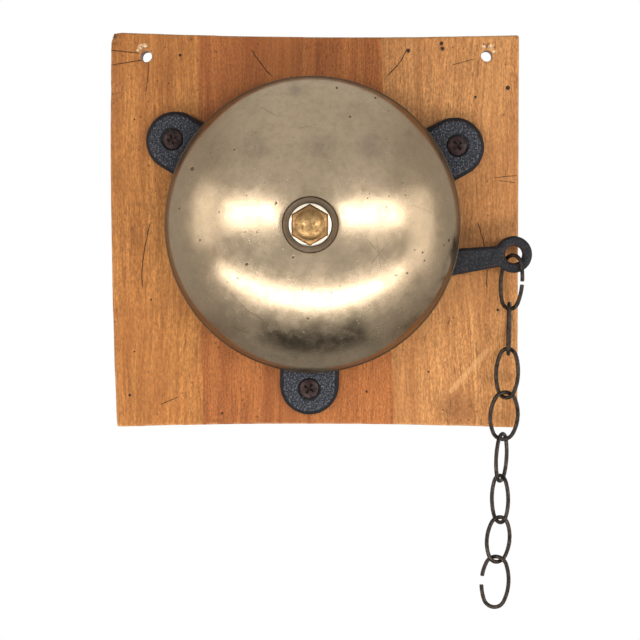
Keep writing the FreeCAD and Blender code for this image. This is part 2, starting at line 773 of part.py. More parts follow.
ringBore = turned("ring_bore", (
    ("0", "0"), ("eyeHoleRadius + eyeHoleBevel", "0"), ("eyeHoleRadius", "eyeHoleBevel"),
    ("eyeHoleRadius", "eyeThick - eyeHoleBevel"), ("eyeHoleRadius + eyeHoleBevel", "eyeThick"),
    ("0", "eyeThick")), eyeSpot, "leverBase - eyeStep")
keep(cut("pull_lever", leverCasting, [
    ringBore,
    cylinder("lever_pivot_bore", leverPivot, "leverBase", "shoulderScrewRadius + runFit",
             "leverThick"),
    cylinder("dog_pin_bore", dogPivot, "leverBase", "dogPinRadius + runFit", "leverThick"),
]))


def shoulderScrew(label, pivot, base, thick):
    # slotted screw whose plain shoulder carries a pivoted part
    foot = "0 - shoulderThreadLength"
    seat = f"{thick} + pivotWasherThick + restGap + restGap"
    blank = turned(label + "_blank", (
        ("0", foot + " + restGap"), ("shoulderThreadRadius", foot + " + restGap"),
        ("shoulderThreadRadius", "0"), ("shoulderScrewRadius", "0"), ("shoulderScrewRadius", seat),
        ("shoulderHeadRadius", seat),
        ("shoulderHeadRadius", seat + " + shoulderHeadThick - shoulderHeadBevel"),
        ("shoulderHeadRadius - shoulderHeadBevel", seat + " + shoulderHeadThick"),
        ("0", seat + " + shoulderHeadThick")), pivot, base + washerSeat)
    slot = block(label + "_slot", pivot,
                 base + washerSeat + " + " + seat + " + shoulderHeadThick - slotDepth",
                 "shoulderHeadRadius + shoulderHeadRadius + cutOver", "slotWidth",
                 "slotDepth + cutOver", slotTurn)
    return cut(label, blank, [slot])


def pivotWasher(label, pivot, base):
    bore = "shoulderScrewRadius + restGap"
    return turned(label, (
        (bore, "0"), ("pivotWasherRadius", "0"), ("pivotWasherRadius", "pivotWasherThick"),
        (bore, "pivotWasherThick")), pivot, base + washerSeat)


keep(shoulderScrew("lever_pivot_screw", leverPivot, "leverBase", "leverThick"))
keep(pivotWasher("lever_pivot_washer", leverPivot, "leverBase"))
keep(shoulderScrew("hammer_pivot_screw", hammerPivot, "hammerBase", "hammerThick"))
keep(pivotWasher("hammer_pivot_washer", hammerPivot, "hammerBase"))

# Hammer: arm, tail and horn in one casting, with the round head riveted on
hammerCasting = fuse("hammer_casting", [
    bar("head_arm", hammerPivot, "hammerArmHalfWidth", headSpot, "hammerArmHalfWidth",
        "hammerBase", "hammerThick", "hammerBevel"),
    bar("tail_arm", hammerPivot, "hammerHubRadius", tailSpot, "hammerArmHalfWidth",
        "hammerBase", "hammerThick", "hammerBevel"),
    bar("horn_arm", hammerPivot, "hammerHubRadius", hornSpot, "hornHalfWidth",
        "hammerBase", "hammerThick", "hammerBevel"),
    cylinder("horn_pin", hornSpot, "hammerBase", "hornPinRadius", "hammerThick + hornPinHeight"),
])


def noseInHammer(travel):
    # where the lever's nose stands, seen from the hammer, after this much travel
    nose = turnAbout(noseSpot, leverPivot, -travel)
    return turnAbout(nose, hammerPivot, -travel)


scoops = []
fullTravel = amount("leverTravelAngle")
sideways = polar(pushAngle - 90, amount("scoopReach"))
throughHammer = "hammerThick + cutOver + cutOver"
for number, travel in enumerate((0.0, fullTravel / 2, fullTravel), start=1):
    nose = noseInHammer(travel)
    scoops.append(bar(f"tail_scoop_{number}", nose, "dogNoseRadius + restGap", nose + sideways,
                      "dogNoseRadius + restGap + restGap", "hammerBase - cutOver",
                      throughHammer))
bore = cylinder("hammer_bore", hammerPivot, "hammerBase - cutOver",
                "shoulderScrewRadius + runFit", throughHammer)
rivetHole = cylinder("head_arm_hole", headSpot, "hammerBase - cutOver",
                     "headRivetRadius + runFit", throughHammer)
keep(cut("hammer_arm", hammerCasting, scoops + [bore, rivetHole]))
rivetBore = "headRivetRadius + runFit"
keep(turned("hammer_head", (
    (rivetBore, "0"), ("headRadius", "0"), ("headRadius", "headHeight - headBevel"),
    ("headRadius - headBevel", "headHeight"), (rivetBore, "headHeight")), headSpot, hammerTop))
rivetTop = "hammerThick + headHeight"
keep(turned("hammer_head_rivet", (
    ("0", "0 - rivetHeadThick"), ("rivetHeadRadius", "0 - rivetHeadThick"),
    ("rivetHeadRadius", "0"), ("headRivetRadius", "0"), ("headRivetRadius", rivetTop),
    ("rivetHeadRadius", rivetTop),
    ("rivetHeadRadius - rivetHeadBevel", rivetTop + " + rivetHeadThick"),
    ("0", rivetTop + " + rivetHeadThick")), headSpot, "hammerBase"))
keep(turned("hammer_buffer", (
    ("bufferPostRadius", "0"), ("bufferPostRadius + bufferThick", "0"),
    ("bufferPostRadius + bufferThick", "bufferHeight"), ("bufferPostRadius", "bufferHeight"),
), bufferSpot, "hammerBase"))

# Anchor pin of the hammer spring, in the web
anchorFoot = "webThick - anchorSink"
anchorTop = hammerTop + " + hornPinHeight"
keep(turned("spring_anchor", (
    ("0", anchorFoot), ("anchorRadius", anchorFoot),
    ("anchorRadius", hammerTop + " - anchorRadius + anchorPinRadius"),
    ("anchorPinRadius", hammerTop), ("anchorPinRadius", anchorTop), ("0", anchorTop),
), anchorSpot))

# Trip dog: a short strut on its own pin, with the lug that its spring pushes
dogBase = leverTop + " + restGap"
dogThick = "hammerBase + hammerThick - leverBase - leverThick - restGap"
dogLugInset = (amount("dogSpringRadius - restGap - dogLugRadius")
               - amount("dogSpringWire") / 2)
dogLugSpot = (dogPivot + polar(pushAngle, amount("dogLugAlong"))
              + polar(pushAngle - 90, dogLugInset))
dogCasting = fuse("dog_casting", [
    bar("dog_strut", dogPivot, "dogHubRadius", noseSpot, "dogNoseRadius", dogBase, dogThick),
    cylinder("dog_lug", dogLugSpot, dogBase, "dogLugRadius", dogThick + " + dogPinNeck"),
])
keep(cut("trip_dog", dogCasting, [
    cylinder("dog_bore", dogPivot, dogBase + " - cutOver", "dogPinRadius + runFit",
             dogThick + " + cutOver + cutOver")]))
pinNeckTop = f"leverThick + restGap + {dogThick} + restGap + dogPinNeck"
pinHead = "dogPinRadius + dogPinHeadOver"
pinTop = pinNeckTop + " + dogPinHeadThick"
keep(turned("dog_pivot_pin", (
    ("0", "0"), ("dogPinRadius", "0"), ("dogPinRadius", pinNeckTop), (pinHead, pinNeckTop),
    (pinHead, pinTop + " - dogPinHeadBevel"), (pinHead + " - dogPinHeadBevel", pinTop),
    ("0", pinTop)), dogPivot, "leverBase"))


# Wire forms: every curve runs on tangent pairs of arcs between points with directions
def biarc(first, firstWay, last, lastWay):
    step = last - first
    both = firstWay + lastWay
    spread = 2 * (1 - firstWay.dot(lastWay))
    if spread < 1e-9:
        reach = step.Length ** 2 / (2 * step.dot(both))
    else:
        drift = step.dot(both)
        reach = (-drift + math.sqrt(drift ** 2 + spread * step.Length ** 2)) / spread
    firstApex = first + firstWay * reach
    lastApex = last - lastWay * reach
    joint = (firstApex + lastApex) * 0.5
    return [arcUnder(first, firstApex, joint), arcUnder(joint, lastApex, last)]


def arcUnder(first, apex, last):
    middle = (first + last) * 0.5
    rise = apex - middle
    half = (last - first).Length / 2
    if rise.Length < 1e-6:
        return Part.LineSegment(first, last).toShape()
    angle = math.atan2(rise.Length, half)
    return Part.Arc(first, middle + rise * (math.tan(angle / 2) / math.tan(angle)), last).toShape()


def selfGap(path, wire):
    # least gap of the tube to itself, measured on points along its centre line
    step = 0.5
    neighbourWires = 3.2
    spots = path.discretize(Distance=step)
    skip = int(math.ceil(neighbourWires * wire / step))
    least = path.Length
    for number, spot in enumerate(spots):
        for other in spots[number + skip:]:
            least = min(least, (other - spot).Length)
    return least - wire


def tube(label, edges, wire):
    path = Part.Wire(edges)
    start = edges[0].valueAt(edges[0].FirstParameter)
    way = edges[0].tangentAt(edges[0].FirstParameter)
    ring = Part.Wire(Part.makeCircle(wire / 2, start, way))
    thing = doc.addObject("Part::Feature", label)
    thing.Label = label
    thing.Shape = path.makePipeShell([ring], True, False)
    return thing


def spring(label, edges, wire):
    print(f"{label}: wire {wire} mm, least gap to itself {selfGap(Part.Wire(edges), wire):.2f} mm")
    return tube(label, edges, wire)


def coilNodes(centreAt, across, upright, onward, radius, startAngle, endAngle, lead):
    # points with directions every half turn; lead is the advance per turn
    halfTurns = max(1, math.ceil((endAngle - startAngle) / 180))
    stops = []
    for number in range(halfTurns + 1):
        angle = startAngle + (endAngle - startAngle) * number / halfTurns
        turn = math.radians(angle)
        advance = lead * (angle - startAngle) / 360
        spot = centreAt + (across * math.cos(turn) + upright * math.sin(turn)) * radius
        way = (upright * math.cos(turn) - across * math.sin(turn)) * radius
        stops.append((spot + onward * advance, (way + onward * (lead / (2 * math.pi))).normalize()))
    return stops


def joined(stops):
    edges = []
    for (first, firstWay), (last, lastWay) in zip(stops[:-1], stops[1:]):
        edges.extend(biarc(first, firstWay, last, lastWay))
    return edges


acrossWay = Vector(1, 0, 0)
uprightWay = Vector(0, 1, 0)
outWay = Vector(0, 0, 1)


def torsionSpring(label, hub, post, postRadius, armAngle, armLength, radius, wire, base, lead):
    # one leg bears on a fixed post, the other runs along the arm that it returns
    span = hub - post
    stand = postRadius + wire / 2 + amount("restGap") - radius
    startAngle = bearing(span) - math.degrees(math.acos(stand / span.Length))
    endAngle = armAngle - 90
    while endAngle - startAngle < 360 * coilTurns:
        endAngle += 360
    middle = Vector(hub.x, hub.y, base + wire / 2)
    stops = coilNodes(middle, acrossWay, uprightWay, outWay, radius, startAngle, endAngle, lead)
    postLeg = span.Length + postRadius
    first, firstWay = stops[0]
    last, lastWay = stops[-1]
    edges = [Part.LineSegment(first - firstWay * postLeg, first).toShape()]
    edges += joined(stops)
    edges.append(Part.LineSegment(last, last + lastWay * armLength).toShape())
    return put(spring(label, edges, wire))


keep(torsionSpring("lever_return_spring", leverPivot, centre, amount("pillarRadius"),
                   amount("leverTilt"), amount("leverLugAlong + leverSpringOverrun"),
                   amount("leverSpringRadius"), amount("leverSpringWire"),
                   amount(leverTop + " + restGap + restGap"), amount("leverSpringPitch")))
keep(torsionSpring("dog_spring", dogPivot, dogStopSpot, amount("dogStopRadius"), pushAngle,
                   amount("dogLugAlong + dogSpringOverrun"), amount("dogSpringRadius"),
                   amount("dogSpringWire"), amount(hammerTop + " + restGap"),
                   amount("dogSpringPitch")))


def tensionSpring(label, firstPin, firstRadius, lastPin, lastRadius, level):
    # close-wound middle between two open hooks
    wire = amount("hammerSpringWire")
    radius = amount("hammerSpringRadius")
    lead = amount("hammerSpringLead")
    start = Vector(firstPin.x, firstPin.y, level)
    end = Vector(lastPin.x, lastPin.y, level)
    along = (end - start).normalize()
    beside = outWay.cross(along)
    pitch = ((end - start).Length - 2 * lead) / hammerSpringTurns
    nearHook = firstRadius + wire / 2 + amount("hookGap")
    farHook = lastRadius + wire / 2 + amount("hookGap")
    stops = [(start - beside * nearHook, along * -1), (start - along * nearHook, beside),
             (start + beside * nearHook, along * 1)]
    stops += coilNodes(start + along * lead, beside, outWay, along, radius, 0,
                       360 * hammerSpringTurns, pitch)
    stops += [(end + beside * farHook, along * 1), (end + along * farHook, beside * -1),
              (end - beside * farHook, along * -1)]
    return put(spring(label, joined(stops), wire))


keep(tensionSpring("hammer_spring", hornSpot, amount("hornPinRadius"), anchorSpot,
                   amount("anchorPinRadius"),
                   amount(hammerTop + " + hornPinHeight - hammerSpringDrop")))


# Chain: open oval links of round wire, butt-jointed on one side
def chainLink(label, length, seamSide, seamGap):
    wire = amount("linkWire")
    tall = (length - wire) / 2
    wide = (amount("linkWidth") - wire) / 2
    endRadius = amount("linkEndRadius")
    rise = tall - endRadius
    sideRadius = (wide ** 2 + rise ** 2 - endRadius ** 2) / (2 * (wide - endRadius))
    # the side arcs end where the tighter end arcs take over on the same tangent
    turn = math.degrees(math.atan2(rise, sideRadius - wide))
    opening = math.degrees(math.asin((seamGap / 2) / sideRadius))
    right = Vector(wide - sideRadius, 0, 0)
    arcs = ((right, sideRadius, opening, turn),
            (Vector(0, rise, 0), endRadius, turn, 180 - turn),
            (right * -1, sideRadius, 180 - turn, 180 + turn),
            (Vector(0, -rise, 0), endRadius, 180 + turn, 360 - turn),
            (right, sideRadius, 360 - turn, 360 - opening))
    edges = []
    for middle, radius, first, last in arcs:
        spots = [middle + polar(angle, radius) for angle in (first, (first + last) / 2, last)]
        edges.append(Part.Arc(*spots).toShape())
    if seamSide < 0:
        for edge in edges:
            edge.rotate(Vector(0, 0, 0), Vector(0, 1, 0), 180)
    return tube(label, edges, wire)


hang = Vector(amount("chainStartSide"), amount("chainStartHeight"), amount("chainLevel"))
linkStep = amount("linkWire + linkGap")
linkPivots = []
for number, (twist, lean, seamSide, seamGap, extra) in enumerate(chainPose, start=1):
    length = amount("linkLength") + extra
    link = chainLink(f"chain_link_{number}", length, seamSide, seamGap)
    down = Rotation(Vector(0, 0, 1), lean).multVec(Vector(0, -1, 0))
    span = length - amount("linkWire")
    middle = hang + down * (span / 2)
    pose = Rotation(Vector(0, 0, 1), lean).multiply(Rotation(Vector(0, 1, 0), twist))
    link.Placement = gongFace.multiply(Placement(middle, pose))
    linkPivots.append(hang - Vector(0, linkStep / 2, 0))
    hang = hang + down * span + Vector(0, linkStep, 0)
    keep(link)

doc.recompute()


# Checks and output
def faults():
    found = []
    for thing in doc.Objects:
        if "Invalid" in thing.State or "Error" in thing.State:
            found.append(f"{thing.Label} state {thing.State}")
    for piece in nodes:
        if piece.Shape.isNull() or not piece.Shape.isValid():
            found.append(f"{piece.Label} shape")
    return found


problems = faults()
if problems:
    raise RuntimeError("failed pieces: " + ", ".join(problems))

os.makedirs("parts", exist_ok=True)
for piece in nodes:
    piece.Shape.exportStep(f"parts/{piece.Label}.step")

for name, spot, level in (("lever pivot", leverPivot, leverTop),
                          ("hammer pivot", hammerPivot, hammerTop),
                          ("dog pivot", dogPivot, dogBase)):
    place = gongFace.multVec(Vector(spot.x, spot.y, amount(level)))
    print(f"{name}: {place.x:.3f} {place.y:.3f} {place.z:.3f}")
for number, spot in enumerate(linkPivots, start=1):
    place = gongFace.multVec(spot)
    print(f"link {number} pivot: {place.x:.3f} {place.y:.3f} {place.z:.3f}")
print(f"{len(nodes)} pieces written")
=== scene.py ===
import json
import math
import bmesh
import bpy
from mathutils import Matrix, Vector, noise


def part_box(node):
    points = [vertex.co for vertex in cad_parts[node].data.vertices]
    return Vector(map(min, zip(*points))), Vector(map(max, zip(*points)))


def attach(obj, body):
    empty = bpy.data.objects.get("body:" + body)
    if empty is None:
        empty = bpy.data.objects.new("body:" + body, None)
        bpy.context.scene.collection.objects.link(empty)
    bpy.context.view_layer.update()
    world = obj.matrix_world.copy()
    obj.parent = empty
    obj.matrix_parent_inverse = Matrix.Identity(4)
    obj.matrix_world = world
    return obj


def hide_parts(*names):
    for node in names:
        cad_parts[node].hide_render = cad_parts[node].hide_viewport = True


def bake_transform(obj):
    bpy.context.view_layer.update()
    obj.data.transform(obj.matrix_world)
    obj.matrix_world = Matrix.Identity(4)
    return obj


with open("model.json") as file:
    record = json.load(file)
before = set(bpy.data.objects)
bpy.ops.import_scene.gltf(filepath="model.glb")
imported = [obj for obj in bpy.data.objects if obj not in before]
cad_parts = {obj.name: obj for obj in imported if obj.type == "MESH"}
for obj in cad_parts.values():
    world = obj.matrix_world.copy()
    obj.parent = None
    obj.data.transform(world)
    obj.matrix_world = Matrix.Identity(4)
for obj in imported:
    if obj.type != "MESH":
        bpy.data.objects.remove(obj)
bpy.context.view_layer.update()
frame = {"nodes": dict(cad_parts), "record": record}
mm = 0.001

gongLow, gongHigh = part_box("gong")
gongAxis = Vector(((gongLow.x + gongHigh.x) / 2, 0, (gongLow.z + gongHigh.z) / 2))
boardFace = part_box("stave_middle")[0].y
record = frame["record"]
slotOf = {part["node"]: part["material_slot"] for part in record["subparts"]}
bodyOf = {node: body for body, nodes in record["behaviour"]["bodies"].items() for node in nodes}

# the photograph's frame: where its pixels lie on the board's face and on the gong's rim
photo = {"gongPixel": (312.5, 225.0), "boardScale": 0.6955 * mm, "gongScale": 0.6877 * mm}


def pixelAway(across, down, scale):
    # how far right of the gong's middle a pixel lies, and how far above it
    middle = photo["gongPixel"]
    return (across - middle[0]) * scale, (middle[1] - down) * scale


def onBoard(across, down):
    right, up = pixelAway(across, down, photo["boardScale"])
    return Vector((gongAxis.x + right, boardFace, gongAxis.z + up))


def onGong(across, down):
    # measured from the gong's own axis
    right, up = pixelAway(across, down, photo["gongScale"])
    return Vector((right, 0, up))


# camera at the photograph's place
view = {"distance": 1.394, "right": 0.0353, "lens": 112.74, "pitch": 2.72, "yaw": 1.2545,
        "sensor": 36.0, "near": 0.01, "far": 60.0}
eye = bpy.data.cameras.new("eye")
eye.lens = view["lens"]
eye.sensor_width = view["sensor"]
eye.clip_start = view["near"]
eye.clip_end = view["far"]
eyeObject = bpy.data.objects.new("eye", eye)
bpy.context.collection.objects.link(eyeObject)
eyeObject.location = (gongAxis.x + view["right"], boardFace - view["distance"], gongAxis.z)
eyeObject.rotation_euler = (math.radians(90 - view["pitch"]), 0, math.radians(view["yaw"]))
bpy.context.scene.camera = eyeObject
bpy.context.scene.view_settings.view_transform = "Standard"


# short ways to write shader trees
kinds = {"value": "NodeSocketFloat", "vector": "NodeSocketVector", "colour": "NodeSocketColor"}
mixSockets = {"amount": 0, "first": 6, "second": 7, "result": 2}
screenCurve = {"white": 255, "bend": 0.04045, "slope": 12.92, "lift": 0.055, "power": 2.4}
frontOnly = (1.0, 0.0, 1.0)


def feed(tree, socket, value):
    if isinstance(value, bpy.types.NodeSocket):
        tree.links.new(value, socket)
    elif value is not None:
        socket.default_value = value


def addNode(tree, kind, inputs=None, **settings):
    node = tree.nodes.new(kind)
    for name, value in settings.items():
        setattr(node, name, value)
    for name, value in (inputs or {}).items():
        feed(tree, node.inputs[name], value)
    return node


def calc(tree, operation, *values, clamp=False):
    node = addNode(tree, "ShaderNodeMath", operation=operation, use_clamp=clamp)
    for socket, value in zip(node.inputs, values):
        feed(tree, socket, value)
    return node.outputs[0]


def times(tree, first, second):
    return calc(tree, "MULTIPLY", first, second)


def vectorCalc(tree, operation, first, second=None):
    node = addNode(tree, "ShaderNodeVectorMath", operation=operation)
    feed(tree, node.inputs[0], first)
    feed(tree, node.inputs[1], second)
    single = operation in ("LENGTH", "DISTANCE", "DOT_PRODUCT")
    return node.outputs["Value" if single else "Vector"]


def mixed(tree, amount, first, second, mode="MIX"):
    node = addNode(tree, "ShaderNodeMix", data_type="RGBA", blend_type=mode)
    feed(tree, node.inputs[mixSockets["amount"]], amount)
    feed(tree, node.inputs[mixSockets["first"]], first)
    feed(tree, node.inputs[mixSockets["second"]], second)
    return node.outputs[mixSockets["result"]]


def coated(tree, colour, mask, coat):
    # lays a coat, which is a share and a tone, over the colour where the mask is
    share, second = coat
    return mixed(tree, times(tree, mask, share), colour, second)


def spread(tree, value, low, high, lowOut=0.0, highOut=1.0):
    ends = {"Value": value, "From Min": low, "From Max": high, "To Min": lowOut, "To Max": highOut}
    return addNode(tree, "ShaderNodeMapRange", ends, interpolation_type="SMOOTHSTEP").outputs[0]


def cloud(tree, vector, look, scale=None):
    # noise on millimetres; stretch is how fast it changes along each axis
    if "shift" in look:
        vector = vectorCalc(tree, "ADD", vector, look["shift"])
    if "stretch" in look:
        vector = vectorCalc(tree, "MULTIPLY", vector, look["stretch"])
    sizes = {"Vector": vector, "Scale": look["scale"] if scale is None else scale,
             "Detail": look.get("detail", 2.0), "Roughness": look.get("roughness", 0.5)}
    return addNode(tree, "ShaderNodeTexNoise", sizes).outputs[0]


def patches(tree, vector, look, scale=None):
    # noise pulled apart between the look's levels
    return spread(tree, cloud(tree, vector, look, scale), *look["levels"])


def millimetres(tree, centre=(0, 0, 0)):
    place = addNode(tree, "ShaderNodeTexCoord").outputs["Object"]
    scaling = {"Vector": place, "Location": centre, "Scale": (mm, mm, mm)}
    return addNode(tree, "ShaderNodeMapping", scaling, vector_type="TEXTURE").outputs[0]


def axisOf(tree, vector, axis):
    return addNode(tree, "ShaderNodeSeparateXYZ", {"Vector": vector}).outputs[axis]


def tone(red, green, blue):
    # colour as it shows on a screen, from 0 to 255
    lift = screenCurve["lift"]
    plain = []
    for channel in (red, green, blue):
        shown = channel / screenCurve["white"]
        if shown < screenCurve["bend"]:
            plain.append(shown / screenCurve["slope"])
        else:
            plain.append(((shown + lift) / (1 + lift)) ** screenCurve["power"])
    return (*plain, 1.0)


def newGroup(name, inputs, outputs=(("Mask", "value"),)):
    # every group takes a place in millimetres first
    group = bpy.data.node_groups.new(name, "ShaderNodeTree")
    for label, kind, value in (("Vector", "vector", None), *inputs):
        socket = group.interface.new_socket(name=label, in_out="INPUT", socket_type=kinds[kind])
        if value is not None:
            socket.default_value = value
    for label, kind in outputs:
        group.interface.new_socket(name=label, in_out="OUTPUT", socket_type=kinds[kind])
    given = group.nodes.new("NodeGroupInput").outputs
    return group, given, group.nodes.new("NodeGroupOutput").inputs


def useGroup(tree, group, vector, inputs=None):
    node = addNode(tree, "ShaderNodeGroup", node_tree=group)
    feed(tree, node.inputs["Vector"], vector)
    for name, value in (inputs or {}).items():
        feed(tree, node.inputs[name], value)
    return node.outputs


def maskOf(tree, group, vector, inputs):
    return useGroup(tree, group, vector, inputs)["Mask"]


# edges turn outward and inner corners inward; both are broken up by noise
wearLook = {"detail": 4.0, "roughness": 0.6, "levels": (0.35, 0.62)}
cornerDarkeningLook = {"detail": 4.0, "roughness": 0.6, "levels": (0.25, 0.6, 0.4)}


def makeTurned(name, start, full, patch, look):
    group, given, out = newGroup(
        name, (("Start", "value", start), ("Full", "value", full), ("Patch", "value", patch)))
    turn = addNode(group, "ShaderNodeNewGeometry").outputs["Pointiness"]
    sharp = spread(group, turn, given["Start"], given["Full"])
    broken = patches(group, given["Vector"], look, given["Patch"])
    feed(group, out["Mask"], times(group, sharp, broken))
    return group


def makeSpecks():
    # scattered small dots: a cell's middle shows only where its own random value is low
    softness = 1.6
    group, given, out = newGroup(
        "specks", (("Scale", "value", 0.3), ("Size", "value", 0.12), ("Share", "value", 0.3)))
    cells = addNode(group, "ShaderNodeTexVoronoi", {"Vector": given["Vector"], "Scale": given["Scale"]})
    soft = times(group, given["Size"], softness)
    dots = spread(group, cells.outputs["Distance"], soft, given["Size"])
    pick = addNode(group, "ShaderNodeSeparateColor", {"Color": cells.outputs["Color"]}).outputs[0]
    chosen = calc(group, "LESS_THAN", pick, given["Share"])
    feed(group, out["Mask"], times(group, dots, chosen))
    return group


hairlineLook = {"lines": {"stretch": (1.0, 1.0, 0.03)}, "soft": 0.05,
                "breaks": {"scale": 0.05, "levels": (0.45, 0.62)}}


def makeScratches():
    # long thin hairlines in one direction: noise squeezed along it
    look = hairlineLook
    group, given, out = newGroup(
        "scratches", (("Turn", "vector", None), ("Scale", "value", 2.0), ("Share", "value", 0.7)))
    turning = {"Vector": given["Vector"], "Rotation": given["Turn"]}
    turned = addNode(group, "ShaderNodeMapping", turning).outputs[0]
    lines = cloud(group, turned, look["lines"], given["Scale"])
    broken = patches(group, given["Vector"], look["breaks"])
    fullShare = calc(group, "ADD", given["Share"], look["soft"])
    hairs = spread(group, lines, given["Share"], fullShare)
    feed(group, out["Mask"], times(group, hairs, broken))
    return group


def makeSpot():
    # one round mark with a soft, slightly ragged edge
    edge = {"scale": 0.8, "detail": 3.0}
    group, given, out = newGroup(
        "spot", (("Centre", "vector", None), ("Radius", "value", 2.0), ("Soft", "value", 0.5)))
    away = vectorCalc(group, "DISTANCE", given["Vector"], given["Centre"])
    ragged = calc(group, "MULTIPLY_ADD", cloud(group, given["Vector"], edge), given["Soft"], away)
    outer = calc(group, "ADD", given["Radius"], given["Soft"])
    feed(group, out["Mask"], spread(group, ragged, outer, given["Radius"]))
    return group


arcLook = {"wander": {"scale": 0.15, "detail": 3.0}, "wanderBy": 2.4, "core": 0.35, "fade": 3.0}


def makeArcLine():
    # a thin curved line between two heights: a crack or a long scratch
    look = arcLook
    group, given, out = newGroup(
        "arcLine",
        (("Centre", "vector", None), ("Radius", "value", 50.0), ("Width", "value", 0.4),
         ("Low", "value", -10.0), ("High", "value", 10.0)))
    waves = cloud(group, given["Vector"], look["wander"])
    wander = calc(group, "MULTIPLY_ADD", waves, look["wanderBy"], -look["wanderBy"] / 2)
    away = vectorCalc(group, "DISTANCE", given["Vector"], given["Centre"])
    fromArc = calc(group, "SUBTRACT", away, given["Radius"])
    off = calc(group, "ABSOLUTE", calc(group, "ADD", fromArc, wander))
    line = spread(group, off, given["Width"], times(group, given["Width"], look["core"]))
    height = axisOf(group, given["Vector"], "Z")
    above = spread(group, height, given["Low"], calc(group, "ADD", given["Low"], look["fade"]))
    below = spread(group, height, given["High"], calc(group, "SUBTRACT", given["High"], look["fade"]))
    feed(group, out["Mask"], times(group, line, times(group, above, below)))
    return group


strokeLook = {"edge": {"scale": 0.6, "detail": 3.0}, "raggedBy": 0.5, "core": 0.3}


def makeStroke():
    # a thin straight scratch from a start point along its reach
    look = strokeLook
    group, given, out = newGroup(
        "stroke", (("Start", "vector", None), ("Reach", "vector", None), ("Width", "value", 0.4)))
    fromStart = vectorCalc(group, "SUBTRACT", given["Vector"], given["Start"])
    over = vectorCalc(group, "DOT_PRODUCT", fromStart, given["Reach"])
    whole = vectorCalc(group, "DOT_PRODUCT", given["Reach"], given["Reach"])
    share = calc(group, "DIVIDE", over, whole, clamp=True)
    shares = addNode(group, "ShaderNodeCombineXYZ", {"X": share, "Y": share, "Z": share}).outputs[0]
    nearest = vectorCalc(group, "MULTIPLY", given["Reach"], shares)
    away = vectorCalc(group, "DISTANCE", fromStart, nearest)
    centred = calc(group, "SUBTRACT", away, look["raggedBy"] / 2)
    waves = cloud(group, given["Vector"], look["edge"])
    ragged = calc(group, "MULTIPLY_ADD", waves, look["raggedBy"], centred)
    core = times(group, given["Width"], look["core"])
    feed(group, out["Mask"], spread(group, ragged, given["Width"], core))
    return group


grainLook = {
    "bend": {"scale": 0.02, "stretch": (1.0, 1.0, 0.35)}, "bendBy": 22.0,
    "bands": {"detail": 3.0, "roughness": 0.55, "stretch": (1.0, 1.0, 0.03), "levels": (0.36, 0.66)},
    "fibres": {"scale": 0.9, "detail": 4.0, "roughness": 0.7, "stretch": (1.0, 1.0, 0.04)},
    "fibreShades": (0.34, 0.66, 0.78, 1.2),
    "flecks": {"scale": 0.9, "detail": 3.0, "roughness": 0.75, "stretch": (1.0, 1.0, 0.45),
               "levels": (0.36, 0.64, 0.72, 1.24)},
    "pores": {"scale": 0.8, "stretch": (1.0, 1.0, 0.12), "levels": (0.64, 0.72)},
    "poreCoat": (0.6, tone(86, 42, 18)),
    "cloudy": {"scale": 0.018, "detail": 3.0, "roughness": 0.55, "stretch": (1.0, 1.0, 0.6),
               "levels": (0.35, 0.7)},
    "cloudyShare": 0.45,
    "golden": {"scale": 0.03, "detail": 3.0, "roughness": 0.6, "stretch": (1.0, 1.0, 0.5),
               "shift": (77.0, 0.0, 31.0), "levels": (0.5, 0.7)},
    "goldenShare": 0.3,
    "poreDepth": -0.8, "fibreHeight": 0.5,
}


def makeWoodGrain():
    # softwood sawn along the grain (Z): growth bands, fibres, pores and cloudy old varnish
    look = grainLook
    group, given, out = newGroup(
        "woodGrain",
        (("Pale", "colour", None), ("Deep", "colour", None), ("Band", "value", 0.16),
         ("Contrast", "value", 0.5), ("Shift", "vector", None)),
        (("Color", "colour"), ("Height", "value"), ("Fibre", "value")))
    place = vectorCalc(group, "ADD", given["Vector"], given["Shift"])
    waves = cloud(group, place, look["bend"])
    bendBy = calc(group, "MULTIPLY_ADD", waves, look["bendBy"], -look["bendBy"] / 2)
    sideways = addNode(group, "ShaderNodeCombineXYZ", {"X": bendBy}).outputs[0]
    bent = vectorCalc(group, "ADD", place, sideways)
    bands = patches(group, bent, look["bands"], given["Band"])
    fibres = cloud(group, bent, look["fibres"])
    poreMask = patches(group, bent, look["pores"])
    colour = coated(group, given["Pale"], bands, (given["Contrast"], given["Deep"]))
    streaks = spread(group, fibres, *look["fibreShades"])
    fine = times(group, streaks, patches(group, place, look["flecks"]))
    shade = addNode(group, "ShaderNodeCombineColor", {"Red": fine, "Green": fine, "Blue": fine})
    colour = mixed(group, 1.0, colour, shade.outputs[0], "MULTIPLY")
    colour = coated(group, colour, poreMask, look["poreCoat"])
    cloudy = patches(group, place, look["cloudy"])
    colour = coated(group, colour, cloudy, (look["cloudyShare"], given["Deep"]))
    golden = patches(group, place, look["golden"])
    colour = coated(group, colour, golden, (look["goldenShare"], given["Pale"]))
    feed(group, out["Color"], colour)
    ridge = times(group, fibres, look["fibreHeight"])
    feed(group, out["Height"], calc(group, "MULTIPLY_ADD", poreMask, look["poreDepth"], ridge))
    feed(group, out["Fibre"], fibres)
    return group


castLook = {"lumps": {"detail": 3.0, "roughness": 0.6}, "grains": {"detail": 4.0, "roughness": 0.75},
            "lumpHeight": 1.6, "glint": (0.5, 0.62)}


